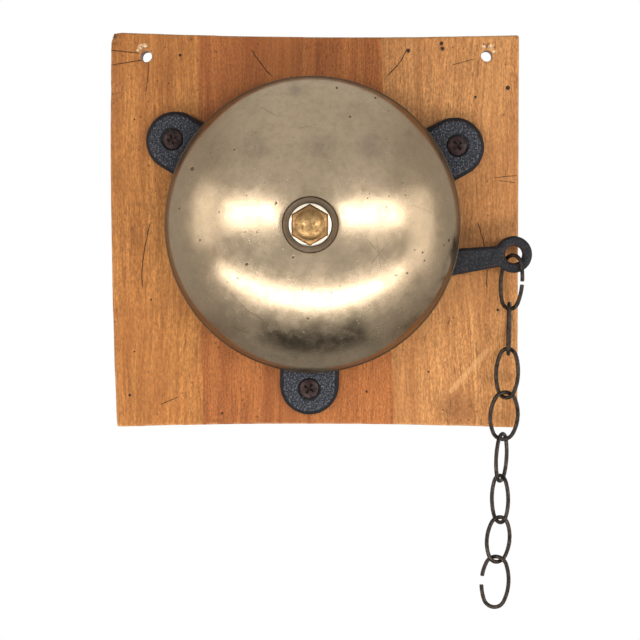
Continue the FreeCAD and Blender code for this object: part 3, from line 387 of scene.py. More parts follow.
def makeCastSkin():
    # sand-cast surface: coarse lumps with fine grains on them
    look = castLook
    group, given, out = newGroup(
        "castSkin", (("Lump", "value", 0.45), ("Grain", "value", 0.85)),
        (("Height", "value"), ("Glint", "value")))
    lumps = cloud(group, given["Vector"], look["lumps"], given["Lump"])
    grains = cloud(group, given["Vector"], look["grains"], given["Grain"])
    feed(group, out["Height"], calc(group, "MULTIPLY_ADD", lumps, look["lumpHeight"], grains))
    feed(group, out["Glint"], spread(group, grains, *look["glint"]))
    return group


edgeWear = makeTurned("edgeWear", 0.52, 0.6, 0.2, wearLook)
# darkening of inner corners, found by curvature and broken by noise
cornerDarkening = makeTurned("cornerDarkening", 0.49, 0.44, 0.15, cornerDarkeningLook)
specks = makeSpecks()
scratches = makeScratches()
spot = makeSpot()
arcLine = makeArcLine()
stroke = makeStroke()
woodGrain = makeWoodGrain()
castSkin = makeCastSkin()
print("shader groups made")


def newMaterial(name):
    material = bpy.data.materials.new(name)
    material.use_nodes = True
    tree = material.node_tree
    tree.nodes.clear()
    shader = addNode(tree, "ShaderNodeBsdfPrincipled")
    out = addNode(tree, "ShaderNodeOutputMaterial")
    tree.links.new(shader.outputs[0], out.inputs["Surface"])
    return material, tree, shader.inputs


def bumpFrom(tree, height, depth):
    # depth in metres for a height of 1
    bump = {"Height": height, "Distance": depth, "Strength": 1.0}
    return addNode(tree, "ShaderNodeBump", bump).outputs[0]


def allOf(tree, masks):
    total = masks[0]
    for mask in masks[1:]:
        total = calc(tree, "MAXIMUM", total, mask)
    return total


def spotMask(tree, flat, mark, placeOn):
    pixel, radius, soft = mark
    centre = placeOn(*pixel) / mm
    settings = {"Centre": (centre.x, 0, centre.z), "Radius": radius, "Soft": soft}
    return maskOf(tree, spot, flat, settings)


def lineMask(tree, flat, line, placeOn):
    first, last, width = line
    start = placeOn(*first) / mm
    reach = placeOn(*last) / mm - start
    settings = {"Start": (start.x, 0, start.z), "Reach": reach, "Width": width}
    return maskOf(tree, stroke, flat, settings)


# board: three glued staves under worn amber varnish
glue = {"top": (-82.2, 45.0), "foot": (-78.8, 54.1), "topLevel": 14.2, "height": 272.2}


def gluePlane(side):
    # a point of the glue line and the plane's normal, which points right
    top = Vector((glue["top"][side], 0, glue["topLevel"])) * mm
    foot = Vector((glue["foot"][side], 0, glue["topLevel"] - glue["height"])) * mm
    down = foot - top
    return top, Vector((-down.z, 0, down.x)).normalized()


boardMarks = {
    "spots": (((440, 45), 1.3, 0.5), ((506, 89), 1.5, 0.5), ((180, 56), 1.0, 0.5), ((407, 52), 1.5, 1.0),
              ((441, 50), 1.4, 1.4), ((128, 396), 0.9, 0.5), ((221, 414), 0.8, 0.5), ((497, 310), 0.9, 0.6),
              ((366, 392), 0.8, 0.5), ((474, 98), 0.9, 0.6), ((134, 120), 0.6, 0.4), ((168, 84), 0.5, 0.4),
              ((150, 300), 0.7, 0.5), ((133, 352), 0.6, 0.4), ((428, 372), 0.7, 0.4), ((505, 240), 0.6, 0.4)),
    "cracks": (((406, 51), (386, 77), 60.0, 0.45), ((477, 223), (486, 287), 120.0, 0.4),
               ((148, 62), (146, 92), 160.0, 0.3)),
    "lines": (((110, 51), (139, 54), 0.45), ((110, 66), (141, 61), 0.4), ((494, 178), (515, 176), 0.3),
              ((498, 181), (513, 183), 0.25), ((452, 66), (474, 60), 0.3), ((160, 405), (176, 398), 0.3)),
    "breakouts": (((140.5, 48), 1.9, 1.6), ((145, 46.5), 1.3, 1.2), ((137.5, 51.5), 0.9, 0.9),
                  ((482.5, 48), 1.4, 1.2), ((489, 48), 1.7, 1.4), ((492, 53), 0.9, 0.9)),
    "bruises": (((482, 46), 0.8, 0.7), ((487, 45.5), 0.8, 0.8), ((492.5, 49), 0.7, 0.6),
                ((113, 38), 2.4, 2.4), ((110, 44), 1.6, 1.6), ((109.5, 84), 1.6, 1.8), ((110, 95), 1.6, 2.0),
                ((151, 52), 0.6, 0.6)),
    "stain": ((455, 408), 11.0, 16.0),
    "scuff": ((451, 391), (486, 351), 2.6),
}
staveLook = {
    "stave_left": {"pale": tone(177, 118, 62), "deep": tone(142, 84, 40), "band": 0.20, "contrast": 0.6,
                   "shift": (13.0, 4.0, 90.0)},
    "stave_middle": {"pale": tone(168, 103, 54), "deep": tone(126, 67, 32), "band": 0.13, "contrast": 0.65,
                     "shift": (220.0, 9.0, 40.0)},
    "stave_right": {"pale": tone(190, 134, 80), "deep": tone(154, 97, 52), "band": 0.17, "contrast": 0.55,
                    "shift": (410.0, 2.0, 10.0)},
}
woodLook = {
    "frontDepth": 3.0, "crackMargin": 1.5, "glueMargin": (1.4, 2.2), "specular": 0.2,
    "markHeight": -2.0, "bump": 0.00012,
    "stainFibre": (0.35, 0.6, 0.3), "scuffFibre": (0.35, 0.6, 0.4),
    "torn": {"scale": 0.8, "detail": 3.0, "roughness": 0.7, "levels": (0.42, 0.54)},
    "gloss": {"scale": 0.05, "detail": 3.0, "levels": (0.3, 0.7, 0.42, 0.6)},
    "dots": {"Scale": 0.17, "Size": 0.09, "Share": 0.4},
    "rubbed": {"Start": 0.515, "Full": 0.57, "Patch": 0.12},
    "cornerDark": {"Start": 0.49, "Full": 0.45, "Patch": 0.1},
}
woodCoats = {
    "stain": (0.65, tone(98, 54, 30)), "scuff": (0.5, tone(216, 166, 112)),
    "torn": (0.85, tone(226, 204, 170)), "bruise": (0.7, tone(66, 44, 34)),
    "mark": (0.96, tone(22, 12, 8)), "dot": (0.65, tone(78, 42, 22)),
    "rubbed": (0.55, tone(222, 178, 128)), "cornerDark": (0.6, tone(72, 40, 22)),
}


def arcThrough(start, end, radius):
    # centre of an arc of this radius through two points of the board's face, bulging to the right
    chord = end - start
    middle = (start + end) / 2
    side = Vector((chord.z, 0, -chord.x)).normalized()
    return middle + side * math.sqrt(radius ** 2 - chord.length_squared / 4)


def crackMask(tree, flat, crack):
    first, last, radius, width = crack
    start = onBoard(*first) / mm
    end = onBoard(*last) / mm
    start.y = end.y = 0.0
    margin = woodLook["crackMargin"]
    bent = {"Centre": arcThrough(start, end, radius), "Radius": radius, "Width": width,
            "Low": min(start.z, end.z) - margin, "High": max(start.z, end.z) + margin}
    return maskOf(tree, arcLine, flat, bent)


def woodMaterial(name, stave):
    material, tree, shader = newMaterial(name)
    look = woodLook
    place = millimetres(tree)
    flat = vectorCalc(tree, "MULTIPLY", place, frontOnly)
    wood = useGroup(tree, woodGrain, place, {
        "Pale": stave["pale"], "Deep": stave["deep"], "Band": stave["band"],
        "Contrast": stave["contrast"], "Shift": stave["shift"]})
    front = calc(tree, "LESS_THAN", axisOf(tree, place, "Y"), boardFace / mm + look["frontDepth"])

    def inFront(*masks):
        return times(tree, allOf(tree, masks), front)

    def spotsOf(key):
        return [spotMask(tree, flat, mark, onBoard) for mark in boardMarks[key]]

    dark = spotsOf("spots") + [lineMask(tree, flat, line, onBoard) for line in boardMarks["lines"]]
    dark += [crackMask(tree, flat, crack) for crack in boardMarks["cracks"]]
    stain = inFront(spotMask(tree, flat, boardMarks["stain"], onBoard))
    stain = times(tree, stain, spread(tree, wood["Fibre"], *look["stainFibre"]))
    colour = coated(tree, wood["Color"], stain, woodCoats["stain"])
    scuff = inFront(lineMask(tree, flat, boardMarks["scuff"], onBoard))
    scuff = times(tree, scuff, spread(tree, wood["Fibre"], *look["scuffFibre"]))
    colour = coated(tree, colour, scuff, woodCoats["scuff"])
    torn = times(tree, inFront(*spotsOf("breakouts")), patches(tree, place, look["torn"]))
    colour = coated(tree, colour, torn, woodCoats["torn"])
    colour = coated(tree, colour, inFront(*spotsOf("bruises")), woodCoats["bruise"])
    marks = inFront(*dark)
    colour = coated(tree, colour, marks, woodCoats["mark"])
    colour = coated(tree, colour, maskOf(tree, specks, place, look["dots"]), woodCoats["dot"])
    rubbed = maskOf(tree, edgeWear, place, look["rubbed"])
    for side in (0, 1):
        spotOn, normal = gluePlane(side)
        fromSpot = vectorCalc(tree, "SUBTRACT", place, spotOn / mm)
        fromGlue = calc(tree, "ABSOLUTE", vectorCalc(tree, "DOT_PRODUCT", fromSpot, normal))
        rubbed = times(tree, rubbed, spread(tree, fromGlue, *look["glueMargin"]))
    colour = coated(tree, colour, rubbed, woodCoats["rubbed"])
    # darker in inner corners
    colour = coated(tree, colour, maskOf(tree, cornerDarkening, place, look["cornerDark"]), woodCoats["cornerDark"])
    feed(tree, shader["Base Color"], colour)
    feed(tree, shader["Roughness"], patches(tree, place, look["gloss"]))
    shader["Specular IOR Level"].default_value = look["specular"]
    height = calc(tree, "MULTIPLY_ADD", marks, look["markHeight"], wood["Height"])
    feed(tree, shader["Normal"], bumpFrom(tree, height, look["bump"]))
    return material


# cast iron: black paint with a bluish cast over a sand-cast skin
castIrons = {
    # face is a lighter colour painted on the flat faces as lit faces; paint is the black paint, left darker
    # on the bevels as painted shade
    "bracket_iron": {"paint": tone(20, 21, 24), "face": tone(34, 35, 40), "rub": tone(124, 126, 134),
                     "rust": tone(74, 44, 30), "rustShare": 0.12, "faceDepth": 7.5, "sparkle": 0.62,
                     "bump": 0.0006},
    "lever_iron": {"paint": tone(22, 22, 25), "face": tone(23, 23, 26), "rub": tone(74, 74, 79),
                   "rust": tone(84, 48, 30), "rustShare": 0.2, "faceDepth": 0.0, "sparkle": 0.4,
                   "bump": 0.00035},
}
ironLook = {
    "screwCircle": 114.0, "screwAngles": (148.7, 28.7, 268.7), "ring": 7.4, "ringWidth": 1.0,
    "ringCore": 0.4, "ringShadeCoat": (0.9, tone(9, 8, 8)),
    "eyeRust": ((512.9, 254.4), 6.2, 4.0), "eyeRustShare": 0.5,
    "rust": {"scale": 0.12, "detail": 4.0, "roughness": 0.65, "levels": (0.56, 0.7)},
    "wear": {"Start": 0.52, "Full": 0.585, "Patch": 0.35}, "wearShare": 0.55,
    "cornerDark": {"Start": 0.485, "Full": 0.43}, "cornerDarkCoat": (0.6, tone(40, 30, 24)),
    "faceFade": 0.7, "bevelShare": 0.08, "roughness": (0.55, 0.34), "specular": 0.16,
}


def ironMaterial(name, iron):
    material, tree, shader = newMaterial(name)
    look = ironLook
    place = millimetres(tree)
    flat = vectorCalc(tree, "MULTIPLY", place, frontOnly)
    skin = useGroup(tree, castSkin, place)
    # the flat faces are rough, painted lighter as lit faces and carry painted glints; the bevels round them
    # are smoother and painted darker as shaded faces
    faceAt = boardFace / mm - iron["faceDepth"]
    face = spread(tree, axisOf(tree, place, "Y"), faceAt + look["faceFade"], faceAt, look["bevelShare"])
    paint = mixed(tree, face, iron["paint"], iron["face"])
    # painted glints: the cast skin's fine grains are lightened with the rub colour on the flat faces
    glint = times(tree, skin["Glint"], face)
    colour = coated(tree, paint, glint, (iron["sparkle"], iron["rub"]))
    # paint worn off the edges in patches, and with it painted highlights along the edges
    wear = maskOf(tree, edgeWear, place, look["wear"])
    colour = coated(tree, colour, wear, (look["wearShare"], iron["rub"]))
    rust = times(tree, patches(tree, place, look["rust"]), iron["rustShare"])
    inEye = spotMask(tree, flat, look["eyeRust"], lambda across, down: onGong(across, down) + gongAxis)
    eyeRust = times(tree, inEye, look["eyeRustShare"])
    colour = mixed(tree, calc(tree, "MAXIMUM", rust, eyeRust), colour, iron["rust"])
    # darker in inner corners
    colour = coated(tree, colour, maskOf(tree, cornerDarkening, place, look["cornerDark"]), look["cornerDarkCoat"])
    # painted shade: near-black rings in the gaps round the three screw heads
    screwGapShades = []
    for angle in look["screwAngles"]:
        turn = math.radians(angle)
        centre = gongAxis / mm + Vector((math.cos(turn), 0, math.sin(turn))) * look["screwCircle"]
        away = vectorCalc(tree, "DISTANCE", flat, (centre.x, 0, centre.z))
        off = calc(tree, "ABSOLUTE", calc(tree, "SUBTRACT", away, look["ring"]))
        screwGapShades.append(spread(tree, off, look["ringWidth"], look["ringWidth"] * look["ringCore"]))
    colour = coated(tree, colour, allOf(tree, screwGapShades), look["ringShadeCoat"])
    feed(tree, shader["Base Color"], colour)
    feed(tree, shader["Roughness"], spread(tree, skin["Glint"], 0.0, 1.0, *look["roughness"]))
    shader["Specular IOR Level"].default_value = look["specular"]
    feed(tree, shader["Normal"], bumpFrom(tree, times(tree, skin["Height"], face), iron["bump"]))
    return material


# gong: polished bell metal gone dull, with clouds of tarnish, pits and hairlines
gongMarks = {
    "pits": (((195, 170), 1.4, 0.6), ((448, 240.5), 0.9, 0.5), ((443, 245), 0.6, 0.3), ((421, 252), 0.6, 0.3),
             ((423, 260), 0.5, 0.3), ((406, 272), 0.6, 0.3), ((395, 274), 0.5, 0.3), ((182, 209), 0.7, 0.4),
             ((204, 240), 0.6, 0.3), ((309.5, 316), 0.9, 0.3), ((375, 100), 0.7, 0.3), ((350, 120), 0.8, 0.4),
             ((401, 184), 0.5, 0.3), ((337, 90.5), 0.8, 0.4), ((280, 204), 0.7, 0.4), ((238, 152), 0.7, 0.4),
             ((296, 256), 1.0, 0.6), ((251, 263), 1.1, 0.6)),
    "clouds": (((322, 150), 8.0, 16.0), ((256, 152), 8.0, 12.0), ((372, 152), 10.0, 14.0),
               ((290, 256), 2.0, 4.0), ((250, 263), 1.6, 3.0), ((326, 158), 3.0, 6.0),
               ((408, 136), 3.0, 8.0), ((296, 93), 4.0, 8.0), ((220, 155), 8.0, 20.0),
               ((405, 150), 8.0, 20.0), ((420, 300), 6.0, 20.0), ((205, 290), 5.0, 14.0)),
    "scratches": (((234, 292), (250, 308), 0.35), ((250, 308), (266, 318), 0.35),
                  ((367, 239), (386, 262), 0.3), ((371, 262), (387, 243), 0.3),
                  ((376, 238), (380, 266), 0.25), ((236, 326), (249, 331), 0.35),
                  ((238, 331), (250, 325), 0.3), ((412, 206), (430, 214), 0.25),
                  ((262, 110), (280, 120), 0.25), ((336, 292), (352, 300), 0.25),
                  ((198, 262), (214, 268), 0.25), ((300, 132), (318, 128), 0.25)),
}
gongLook = {
    "base": tone(166, 147, 122), "seatShadeEdge": (19.5, 18.1), "rim": (96.5, 101.2), "lip": (99.9, 100.9),
    "specks": {"Scale": 0.16, "Size": 0.07, "Share": 0.4}, "speckShare": 0.7,
    "hairs": ((0.4, 0.68), (1.3, 0.7), (2.4, 0.7)), "hairScale": 1.8,
    "tarnish": {"scale": 0.035, "detail": 5.0, "roughness": 0.6, "levels": (0.42, 0.7)},
    "mottled": {"scale": 0.22, "detail": 4.0, "roughness": 0.65, "levels": (0.4, 0.7)},
    "stainBreaks": {"scale": 0.12, "detail": 4.0, "levels": (0.3, 0.6, 0.35)},
    "gloss": {"scale": 0.08, "detail": 4.0, "roughness": 0.6, "levels": (0.3, 0.7, 0.20, 0.30)},
    "stainGloss": 0.1, "pitGloss": 0.3, "rimGloss": 0.16, "sides": (26.0, 80.0, 0.0, 0.6),
    "sideReflectionTone": tone(118, 100, 78),
    "waves": {"scale": 0.5, "detail": 3.0}, "waveHeight": 0.08, "pitHeight": -1.0, "hairHeight": -0.12,
    "bump": 0.00015,
}
gongCoats = {
    "tarnish": (0.5, tone(138, 125, 101)), "mottled": (0.35, tone(134, 116, 90)),
    "stain": (0.5, tone(112, 100, 88)), "hair": (0.35, tone(205, 190, 160)),
    "cut": (0.5, tone(84, 68, 54)), "seat": (0.75, tone(98, 86, 74)), "rim": (0.6, tone(116, 98, 76)),
    "lip": (0.8, tone(74, 58, 42)), "pit": (0.8, tone(66, 52, 40)),
}


def gongMaterial(name):
    material, tree, shader = newMaterial(name)
    look = gongLook
    place = millimetres(tree, gongAxis)
    flat = vectorCalc(tree, "MULTIPLY", place, frontOnly)
    pits = allOf(tree, [spotMask(tree, flat, mark, onGong) for mark in gongMarks["pits"]])
    small = maskOf(tree, specks, place, look["specks"])
    pits = calc(tree, "MAXIMUM", pits, times(tree, small, look["speckShare"]))
    # real stains on the metal, and in the two lowest clouds at the left and right a painted dark reflection
    stainAndReflectionMask = allOf(tree, [spotMask(tree, flat, mark, onGong) for mark in gongMarks["clouds"]])
    stainAndReflectionMask = times(tree, stainAndReflectionMask, patches(tree, place, look["stainBreaks"]))
    hairs = []
    for turn, share in look["hairs"]:
        across = {"Turn": (0, turn, 0), "Scale": look["hairScale"], "Share": share}
        hairs.append(maskOf(tree, scratches, place, across))
    hair = allOf(tree, hairs)
    cuts = allOf(tree, [lineMask(tree, flat, line, onGong) for line in gongMarks["scratches"]])
    fromAxis = vectorCalc(tree, "LENGTH", flat)
    # painted reflection: the seat round the nut is coated darker, standing for the dark room it would mirror
    seat = spread(tree, fromAxis, *look["seatShadeEdge"])
    # painted reflection of the board: a brownish coat over the rim, darkest in a line at the lip
    rim = spread(tree, fromAxis, *look["rim"])
    lip = spread(tree, fromAxis, *look["lip"])
    colour = coated(tree, look["base"], patches(tree, place, look["tarnish"]), gongCoats["tarnish"])
    colour = coated(tree, colour, patches(tree, place, look["mottled"]), gongCoats["mottled"])
    for mask, coat in ((stainAndReflectionMask, "stain"), (hair, "hair"), (cuts, "cut"), (seat, "seat")):
        colour = coated(tree, colour, mask, gongCoats[coat])
    # painted reflection: the gong is coated darker and browner towards its left and right sides
    sideways = calc(tree, "ABSOLUTE", axisOf(tree, flat, "X"))
    colour = mixed(tree, spread(tree, sideways, *look["sides"]), colour, look["sideReflectionTone"])
    for mask, coat in ((rim, "rim"), (lip, "lip"), (pits, "pit")):
        colour = coated(tree, colour, mask, gongCoats[coat])
    feed(tree, shader["Base Color"], colour)
    shader["Metallic"].default_value = 1.0
    rough = patches(tree, place, look["gloss"])
    worn = calc(tree, "MAXIMUM", rim, seat)
    for mask, gloss in ((stainAndReflectionMask, "stainGloss"), (pits, "pitGloss"), (worn, "rimGloss")):
        rough = calc(tree, "MULTIPLY_ADD", mask, look[gloss], rough)
    feed(tree, shader["Roughness"], rough)
    height = times(tree, hair, look["hairHeight"])
    height = calc(tree, "MULTIPLY_ADD", pits, look["pitHeight"], height)
    waves = times(tree, cloud(tree, place, look["waves"]), look["waveHeight"])
    height = calc(tree, "ADD", height, waves)
    feed(tree, shader["Normal"], bumpFrom(tree, height, look["bump"]))
    return material


# plain metals and leather: base colour, second colour in patches, and how they shine
metals = {
    "screw_steel": {"base": tone(50, 33, 30), "patch": tone(26, 19, 18), "rub": tone(92, 66, 54),
                    "metal": 0.4, "rough": (0.4, 0.65), "bump": 0.00006},
    "nut_brass": {"base": tone(172, 140, 96), "patch": tone(112, 84, 50), "rub": tone(246, 230, 190),
                  "metal": 1.0, "rough": (0.36, 0.48), "bump": 0.00003},
    "mechanism_steel": {"base": tone(150, 148, 144), "patch": tone(96, 90, 84), "rub": tone(196, 194, 190),
                        "metal": 1.0, "rough": (0.3, 0.5), "bump": 0.00003},
    "spring_steel": {"base": tone(170, 170, 172), "patch": tone(120, 116, 112), "rub": tone(205, 205, 206),
                     "metal": 1.0, "rough": (0.22, 0.38), "bump": 0.00001},
    "chain_wire": {"base": tone(56, 47, 40), "patch": tone(31, 27, 24), "rub": tone(122, 105, 86),
                   "metal": 0.7, "rough": (0.34, 0.55), "bump": 0.00005},
    "leather": {"base": tone(104, 70, 44), "patch": tone(66, 42, 27), "rub": tone(140, 104, 72),
                "metal": 0.0, "rough": (0.55, 0.75), "bump": 0.00010},
}
metalLook = {
    "patches": {"scale": 0.35, "detail": 4.0, "roughness": 0.65, "levels": (0.42, 0.66)},
    "wear": {"Start": 0.52, "Full": 0.6, "Patch": 0.5}, "wearShare": 0.7,
    "cornerDark": {"Patch": 0.4}, "cornerDarkCoat": (0.5, tone(30, 22, 16)), "specular": 0.25,
    "grain": {"scale": 1.2, "detail": 4.0, "roughness": 0.6},
}
nutLook = {"turns": (0, 60, 120), "flat": 11.9, "line": 0.55, "core": 0.4,
           "edgeShadeCoat": (0.85, tone(70, 44, 26)),
           "collarTop": 78.3, "collarFade": (0.4, 0.1),
           "collar": tone(244, 234, 214),
           "dome": (2.5, 10.5, 0.0, 0.7), "brimShade": tone(112, 82, 48)}


def hexagonShadeAndHighlight(tree, colour):
    # painted shade and highlight: brown lines along the hexagon's edges and a darker brim to the dome are
    # painted shade, and the bright collar under them is a painted highlight
    look = nutLook
    place = millimetres(tree, gongAxis)
    facing = []
    for turn in look["turns"]:
        angle = math.radians(turn)
        across = vectorCalc(tree, "DOT_PRODUCT", place, (math.cos(angle), 0, math.sin(angle)))
        facing.append(calc(tree, "ABSOLUTE", across))
    reach = allOf(tree, facing)
    collarAt = boardFace / mm - look["collarTop"]
    start, full = look["collarFade"]
    collar = spread(tree, axisOf(tree, place, "Y"), collarAt - start, collarAt - full)
    away = vectorCalc(tree, "LENGTH", vectorCalc(tree, "MULTIPLY", place, frontOnly))
    colour = mixed(tree, spread(tree, away, *look["dome"]), colour, look["brimShade"])
    fromLine = calc(tree, "ABSOLUTE", calc(tree, "SUBTRACT", reach, look["flat"] - look["line"]))
    edge = spread(tree, fromLine, look["line"], look["line"] * look["core"])
    colour = coated(tree, colour, edge, look["edgeShadeCoat"])
    return mixed(tree, collar, colour, look["collar"])


def metalMaterial(name, metal):
    material, tree, shader = newMaterial(name)
    look = metalLook
    place = millimetres(tree)
    patchMask = patches(tree, place, look["patches"])
    colour = mixed(tree, patchMask, metal["base"], metal["patch"])
    wear = maskOf(tree, edgeWear, place, look["wear"])
    colour = coated(tree, colour, wear, (look["wearShare"], metal["rub"]))
    # darker in inner corners
    colour = coated(tree, colour, maskOf(tree, cornerDarkening, place, look["cornerDark"]), look["cornerDarkCoat"])
    # painted shade and a painted highlight on the nut
    if name == "nut_brass":
        colour = hexagonShadeAndHighlight(tree, colour)
    feed(tree, shader["Base Color"], colour)
    shader["Metallic"].default_value = metal["metal"]
    feed(tree, shader["Roughness"], spread(tree, patchMask, 0.0, 1.0, *metal["rough"]))
    shader["Specular IOR Level"].default_value = look["specular"]
    feed(tree, shader["Normal"], bumpFrom(tree, cloud(tree, place, look["grain"]), metal["bump"]))
    return material


materials = {name: woodMaterial(name, look) for name, look in staveLook.items()}
materials.update({name: ironMaterial(name, iron) for name, iron in castIrons.items()})
materials.update({name: metalMaterial(name, metal) for name, metal in metals.items()})
materials["gong_brass"] = gongMaterial("gong_brass")
print("materials made:", len(materials))


# pieces
weld = {"node": 0.002 * mm, "board": 0.005 * mm, "gong": 0.005 * mm}


def finished(bm, name, node, material=None, rides=True):
    # turns a bmesh into a smooth piece that stands for its CAD node
    mesh = bpy.data.meshes.new(name)
    bm.to_mesh(mesh)
    bm.free()
    mesh.polygons.foreach_set("use_smooth", [True] * len(mesh.polygons))
    piece = bpy.data.objects.new(name, mesh)
    bpy.context.collection.objects.link(piece)
    mesh.materials.append(materials[material or slotOf[node]])
    if rides:
        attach(piece, bodyOf[node])
    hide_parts(node)
    return piece


def mergedCopy(node):
    bm = bmesh.new()
    bm.from_mesh(frame["nodes"][node].data)
    bmesh.ops.remove_doubles(bm, verts=bm.verts, dist=weld["node"])
    return bm


def remeshed(bm, voxel):
    # even skin of small faces over a closed mesh
    mesh = bpy.data.meshes.new("draft")
    bm.to_mesh(mesh)
    bm.free()
    draft = bpy.data.objects.new("draft", mesh)
    bpy.context.collection.objects.link(draft)
    skin = draft.modifiers.new("skin", "REMESH")
    skin.mode = "VOXEL"
    skin.voxel_size = voxel
    bpy.context.view_layer.update()
    shown = draft.evaluated_get(bpy.context.evaluated_depsgraph_get())
    even = bmesh.new()
    even.from_mesh(shown.to_mesh())
    shown.to_mesh_clear()
    bpy.data.objects.remove(draft)
    bpy.data.meshes.remove(mesh)
    return even


def soften(bm, amount):
    axes = {"use_axis_x": True, "use_axis_y": True, "use_axis_z": True}
    bmesh.ops.smooth_vert(bm, verts=bm.verts, factor=amount, **axes)


def roughen(bm, layers):
    # moves each point along its normal by noise; layers are (depth, size) in millimetres
    bm.normal_update()
    moves = []
    for vert in bm.verts:
        rise = sum(depth * noise.noise(vert.co / (size * mm)) for depth, size in layers)
        moves.append((vert, vert.normal * (rise * mm)))
    for vert, move in moves:
        vert.co += move


# cast, turned and bent pieces: how finely each is skinned, how often it is smoothed
# (once where nothing is said) and how uneven it is
skinSmooth = 0.5
skins = {
    "base_bracket": {"name": "bracket_casting", "voxel": 1.0,
                     "rough": ((0.10, 4.0), (0.06, 1.6))},
    "bracket_screws": {"name": "ear_screws", "voxel": 0.25, "smooth": 0},
    "pull_lever": {"name": "lever_casting", "voxel": 0.7, "rough": ((0.07, 4.0), (0.04, 1.5))},
    "hammer_arm": {"name": "hammer_casting", "voxel": 0.7, "rough": ((0.06, 4.0), (0.04, 1.5))},
    "cap_nut": {"name": "domed_nut", "voxel": 0.22},
    "cap_washer": {"name": "bevelled_collar", "voxel": 0.25},
    "seat_washer": {"name": "leather_seat", "voxel": 0.5, "smooth": 2, "rough": ((0.06, 3.0),)},
    "gong_stud": {"name": "centre_stud", "voxel": 0.5, "smooth": 0},
    "lever_pivot_screw": {"name": "lever_shoulder_screw", "voxel": 0.4},
    "lever_pivot_washer": {"name": "lever_thin_washer", "voxel": 0.25, "smooth": 0},
    "hammer_pivot_screw": {"name": "hammer_shoulder_screw", "voxel": 0.4},
    "hammer_pivot_washer": {"name": "hammer_thin_washer", "voxel": 0.25, "smooth": 0},
    "hammer_head": {"name": "striking_head", "voxel": 0.4, "rough": ((0.03, 3.0),)},
    "hammer_head_rivet": {"name": "head_rivet", "voxel": 0.3, "rough": ((0.03, 2.0),)},
    "hammer_buffer": {"name": "leather_buffer", "voxel": 0.4, "smooth": 2, "rough": ((0.05, 2.0),)},
    "spring_anchor": {"name": "anchor_pin", "voxel": 0.3},
    "trip_dog": {"name": "dog_strut", "voxel": 0.35, "rough": ((0.02, 2.0),)},
    "dog_pivot_pin": {"name": "dog_pin", "voxel": 0.3},
}
for number in range(1, 9):
    skins[f"chain_link_{number}"] = {"name": f"link_wire_{number}", "voxel": 0.35, "smooth": 2,
                                     "rough": ((0.05, 5.0), (0.02, 1.5))}


def dressed(node, look):
    bm = remeshed(mergedCopy(node), look["voxel"] * mm)
    for _ in range(look.get("smooth", 1)):
        soften(bm, skinSmooth)
    if "rough" in look:
        roughen(bm, look["rough"])
    return finished(bm, look["name"], node)


for node, look in skins.items():
    dressed(node, look)
print("castings, fasteners and chain dressed:", len(skins))


# springs: merged copies of the CAD coils, which stay where they are and ride on no body
springLook = {
    "lever_return_spring": {"name": "return_coil", "bodies": ("mounted_board", "lever"),
                            "start": (-0.015, -0.034, -0.140), "end": (0.0, -0.042, -0.160)},
    "hammer_spring": {"name": "hammer_coil", "bodies": ("mounted_board", "hammer"),
                      "start": (0.006, -0.0468, -0.0673), "end": (-0.058, -0.0468, -0.0638)},
    "dog_spring": {"name": "dog_coil", "bodies": ("lever", "dog"),
                   "start": (-0.0585, -0.043, -0.116), "end": (-0.050, -0.047, -0.125)},
}
for node, look in springLook.items():
    coil = finished(mergedCopy(node), look["name"], node, rides=False)
    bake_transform(coil)
print("springs made:", len(springLook))

# board: one skin over the three staves, chipped, then parted again along the glue lines
boardLook = {
    "voxel": 1.1 * mm, "smooth": 0.4, "onGlue": 0.03 * mm, "cutMerge": 0.0001 * mm,
    "rough": ((0.05, 9.0), (0.03, 2.5)),
    "chips": (((112, 34), 6.5, 2.6), ((111, 44), 4.0, 1.4), ((108, 92), 7.5, 2.2), ((143, 49), 2.6, 1.2),
              ((485, 48), 3.0, 1.4), ((516, 37), 2.6, 0.8), ((115, 427), 2.4, 0.9), ((516, 427), 2.2, 0.8)),
    "chipRagged": 0.5, "chipGrain": 2.5 * mm, "chipSlope": 0.7,
    "cornerPixel": (111.5, 33), "cornerRadius": 7.0, "cornerMove": Vector((2.2, 0, -1.2)) * mm,
    "cornerShare": (0.8, 0.4), "cornerGrain": 2 * mm,
}


def onGlue(face, side):
    spotOn, normal = gluePlane(side)
    return all(abs((vert.co - spotOn).dot(normal)) < boardLook["onGlue"] for vert in face.verts)


def wholeBoard(look):
    bm = bmesh.new()
    for node in staveLook:
        bm.from_mesh(frame["nodes"][node].data)
    bmesh.ops.remove_doubles(bm, verts=bm.verts, dist=weld["board"])
    for side in (0, 1):
        glued = [face for face in bm.faces if onGlue(face, side)]
        print("glue faces:", len(glued))
        bmesh.ops.delete(bm, geom=glued, context="FACES")
    bmesh.ops.remove_doubles(bm, verts=bm.verts, dist=weld["board"])
    whole = remeshed(bm, look["voxel"])
    soften(whole, look["smooth"])
    return whole


def chip(bm, look):
    for pixel, radius, depth in look["chips"]:
        centre = onBoard(*pixel)
        for vert in bm.verts:
            ragged = radius * (1 + look["chipRagged"] * noise.noise(vert.co / look["chipGrain"]))
            reach = (vert.co - centre).length / (ragged * mm)
            if reach < 1:
                vert.co.y += depth * mm * (1 - reach) ** look["chipSlope"]


def breakCorner(bm, look):
    # the top left corner is broken off
    centre = onBoard(*look["cornerPixel"])
    least, more = look["cornerShare"]
    for vert in bm.verts:
        away = Vector((vert.co.x - centre.x, 0, vert.co.z - centre.z)).length
        reach = away / (look["cornerRadius"] * mm)
        if reach < 1:
            share = least + more * noise.noise(vert.co / look["cornerGrain"])
            vert.co += look["cornerMove"] * (1 - reach) * share


